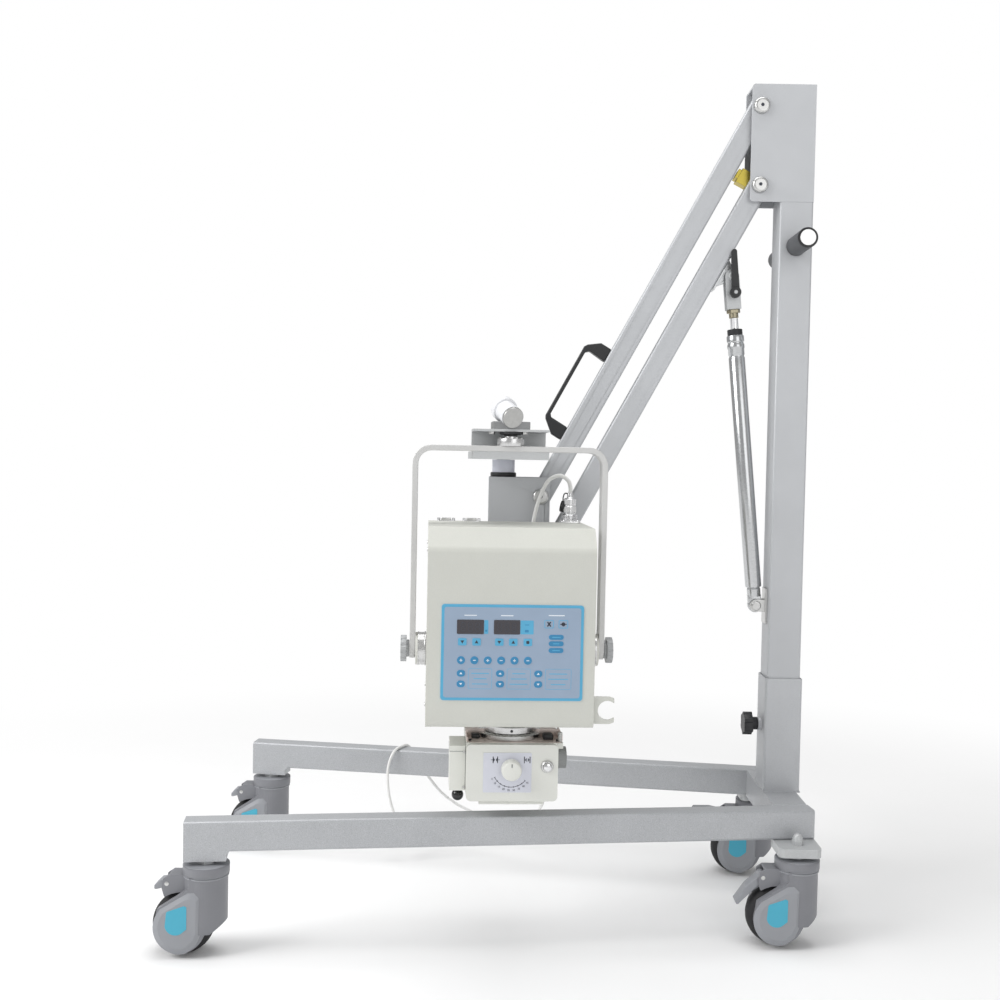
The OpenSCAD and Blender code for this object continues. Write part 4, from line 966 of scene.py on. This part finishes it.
def make_stand_trim():
    # Hexagon sockets in the bolts at both ends of the arms.
    dx, dz = ARM_LENGTH * math.cos(ARM_DROP), ARM_LENGTH * math.sin(ARM_DROP)
    for name, body, x, drop in (("bracket_bolt_sockets", "mast", ARM_PIVOT_X, 0),
                                ("head_bolt_sockets", "head_bracket", ARM_PIVOT_X - dx, dz)):
        bm = bmesh.new()
        for z in (UPPER_PIVOT_Z - drop, LOWER_PIVOT_Z - drop):
            for face in (front_face(-BOLT_FACE), back_face(BOLT_FACE)):
                add_lathe(bm, [(0, 0), (3.4, 0), (3.4, 0.25), (0, 0.25)], face @ shift(x, z, 0), n=6)
        piece(bm, name, INK, body, MAST)
    # The rims of the push bar's grips.
    bm = bmesh.new()
    for s in (-1, 1):
        place = shift(0, 0, 1202) @ Matrix.Rotation(R(-90 * s), 4, "X")
        add_lathe(bm, [(13.6, 117), (17.5, 117), (17.6, 118.6), (17, 120.3), (15.4, 121), (13.8, 120.8),
            (13.6, 117)], place, n=64)
        add_lathe(bm, [(16.9, 33), (17.6, 33.6), (17.6, 35.4), (17, 36), (16.9, 33)], place, n=64)
    piece(bm, "grip_rims", BLACK, "mast", MAST, weld=True)
    # Plastic plugs that close the arm tubes.
    for arm, place in (("upper_arm", UPPER), ("lower_arm", LOWER)):
        bm = bmesh.new()
        add_box(bm, (-19.4, -16.2, -16.2), (-17, 16.2, 16.2), 0.8, 2)
        add_box(bm, (817, -16.2, -16.2), (819.4, 16.2, 16.2), 0.8, 2)
        piece(bm, arm + "_plugs", BLACK, arm, place)
    # The gas spring's tube with its rolled grooves, black collar and fork nut.
    bm = bmesh.new()
    prof = [(0, 33), (12, 33), (14, 34), (14.5, 36), (14.5, 452), (13.4, 454), (13.4, 456), (14.5, 458),
        (14.5, 468.5), (15.3, 470), (15.3, 476), (14.2, 478), (14.2, 480), (15.5, 482), (15.5, 491),
        (14.4, 493), (7.8, 493)]
    add_lathe(bm, prof, n=64)
    add_box(bm, (-12, -6, -2), (12, 6, 20), 1.5, 3)
    add_lathe(bm, disc(12.9, -6, 6, 1.2), TURN_Y, n=48)
    add_lathe(bm, [(0, 16), (11.6, 16), (12.2, 17), (12.2, 30), (10.8, 32), (10.8, 33.5), (0, 33.5)], n=48)
    tube = piece(bm, "spring_tube", SPRING_TUBE, "gas_cylinder", SPRING, weld=True)
    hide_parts("gas_cylinder")
    bm = bmesh.new()
    add_lathe(bm, [(7.5, 492.5), (13.2, 492.5), (13.6, 493.5), (13.6, 503), (12.4, 504), (7.5, 504),
        (7.5, 492.5)], n=48)
    piece(bm, "spring_collar", BLACK, "gas_cylinder", SPRING, weld=True)
    bm = bmesh.new()
    add_lathe(bm, [(0, 533), (11.6, 533), (12.4, 534), (12.4, 538.8), (11.6, 539.8), (0, 539.8)], n=6)
    add_lathe(bm, [(7.2, 524), (8.4, 525), (8.4, 533), (7.2, 533), (7.2, 524)], n=32)
    piece(bm, "spring_nut", BRASS, "gas_rod", SPRING, weld=True)
    bm = bmesh.new()
    add_lathe(bm, [(3.4, 0), (9.6, 0), (10, 0.6), (10, 8), (9.2, 9.4), (6, 10), (3.4, 10), (3.4, 0)],
        front_face(-21) @ shift(1.5, 568, 0), n=40)
    piece(bm, "lever_hub", BLACK, "release_lever", SPRING, weld=True)
    # A weld bead round the mast sleeve's foot.
    bm = bmesh.new()
    w, z = 33.5, 219
    pts = [(-w, -w), (w, -w), (w, w), (-w, w), (-w, -w)]
    for (ax, ay), (bx, by) in zip(pts, pts[1:]):
        d = Vector((bx - ax, by - ay, 0))
        n = int(d.length / 2.2)
        for i in range(n):
            p = Vector((ax, ay, z)) + d * ((i + 0.5) / n)
            bmesh.ops.create_icosphere(bm, subdivisions=1, radius=1.5, matrix=Matrix.Translation(p))
    piece(bm, "sleeve_weld", FRAME_PAINTED_LIT, "base", MAST, angle=80)


make_stand_trim()


# ---- Tilt knobs ----
def make_tilt_knobs():
    for side, s in (("left", -1), ("right", 1)):
        place = HEAD @ side_x(0, s) @ shift(POST_Y * s, TILT_Z, 0)
        bm = bmesh.new()
        rim = []
        for k in range(72):
            r = 22 if k % 6 in (0, 1, 2, 3) else 20.4
            rim.append((r * math.cos(R(5 * k)), r * math.sin(R(5 * k))))
        add_prism(bm, rim, 168.5, 178.2, bevel=1.2, seg=2)
        add_lathe(bm, [(0, 177), (14, 177), (15, 178), (14.4, 178.4), (6, 178.6), (0, 178.6)], n=48)
        add_lathe(bm, [(0, 164.1), (13.6, 164.1), (14.4, 165), (14.4, 168.6), (0, 168.6)], n=48)
        knob = piece(bm, "tilt_knob_%s_cap" % side, KNOB, "tilt_knob_" + side, place)
        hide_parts("tilt_knob_" + side)


make_tilt_knobs()


# ---- Stage ----
def make_stage():
    bm = bmesh.new()
    bmesh.ops.create_grid(bm, x_segments=1, y_segments=1, size=14)
    floor = piece(bm, "floor", PALE, None, shift(0, 3, 0))
    world = bpy.data.worlds.new("studio")
    world.use_nodes = True
    tree = world.node_tree
    soft = tree.nodes["Background"]
    soft.inputs[0].default_value = (1, 1, 1, 1)
    soft.inputs[1].default_value = AMBIENT
    clear = tree.nodes.new("ShaderNodeBackground")
    clear.inputs[0].default_value = (1, 1, 1, 1)
    clear.inputs[1].default_value = BACKDROP
    path = tree.nodes.new("ShaderNodeLightPath")
    mix = tree.nodes.new("ShaderNodeMixShader")
    tree.links.new(path.outputs["Is Camera Ray"], mix.inputs[0])
    tree.links.new(soft.outputs[0], mix.inputs[1])
    tree.links.new(clear.outputs[0], mix.inputs[2])
    tree.links.new(mix.outputs[0], tree.nodes["World Output"].inputs[0])
    SCENE.world = world
    for name, loc, size, power in LIGHTS:
        light = bpy.data.lights.new(name, "AREA")
        light.size = size
        light.energy = power
        ob = bpy.data.objects.new(name, light)
        ob.location = loc
        ob.rotation_euler = (AIM - Vector(loc)).to_track_quat("-Z", "Y").to_euler()
        SCENE.collection.objects.link(ob)
    SCENE.view_settings.view_transform = "Standard"


# A pale floor that turns into plain backdrop away from the stand.
def pale():
    g = Graph("pale_floor")
    tone = g.ramp(g.noise(3, 2), [(0.3, (0.93, 0.93, 0.93)), (0.7, (0.95, 0.95, 0.95))])
    g.link(tone, g.shader.inputs["Base Color"])
    g.set(Roughness=0.7)
    away = g.add("ShaderNodeVectorMath", operation="DISTANCE")
    g.link(g.coord, away.inputs[0])
    away.inputs[1].default_value = FLOOR_CENTRE
    reach = g.add("ShaderNodeMapRange", interpolation_type="SMOOTHSTEP")
    reach.inputs["From Min"].default_value, reach.inputs["From Max"].default_value = FLOOR_FADE
    g.link(away.outputs["Value"], reach.inputs["Value"])
    glow = g.add("ShaderNodeEmission")
    glow.inputs["Strength"].default_value = BACKDROP
    both = g.add("ShaderNodeMixShader")
    g.link(reach.outputs[0], both.inputs[0])
    g.link(g.shader.outputs[0], both.inputs[1])
    g.link(glow.outputs[0], both.inputs[2])
    out = [n for n in g.tree.nodes if n.type == "OUTPUT_MATERIAL"][0]
    g.link(both.outputs[0], out.inputs[0])
    return g.mat


PALE = pale()
make_stage()
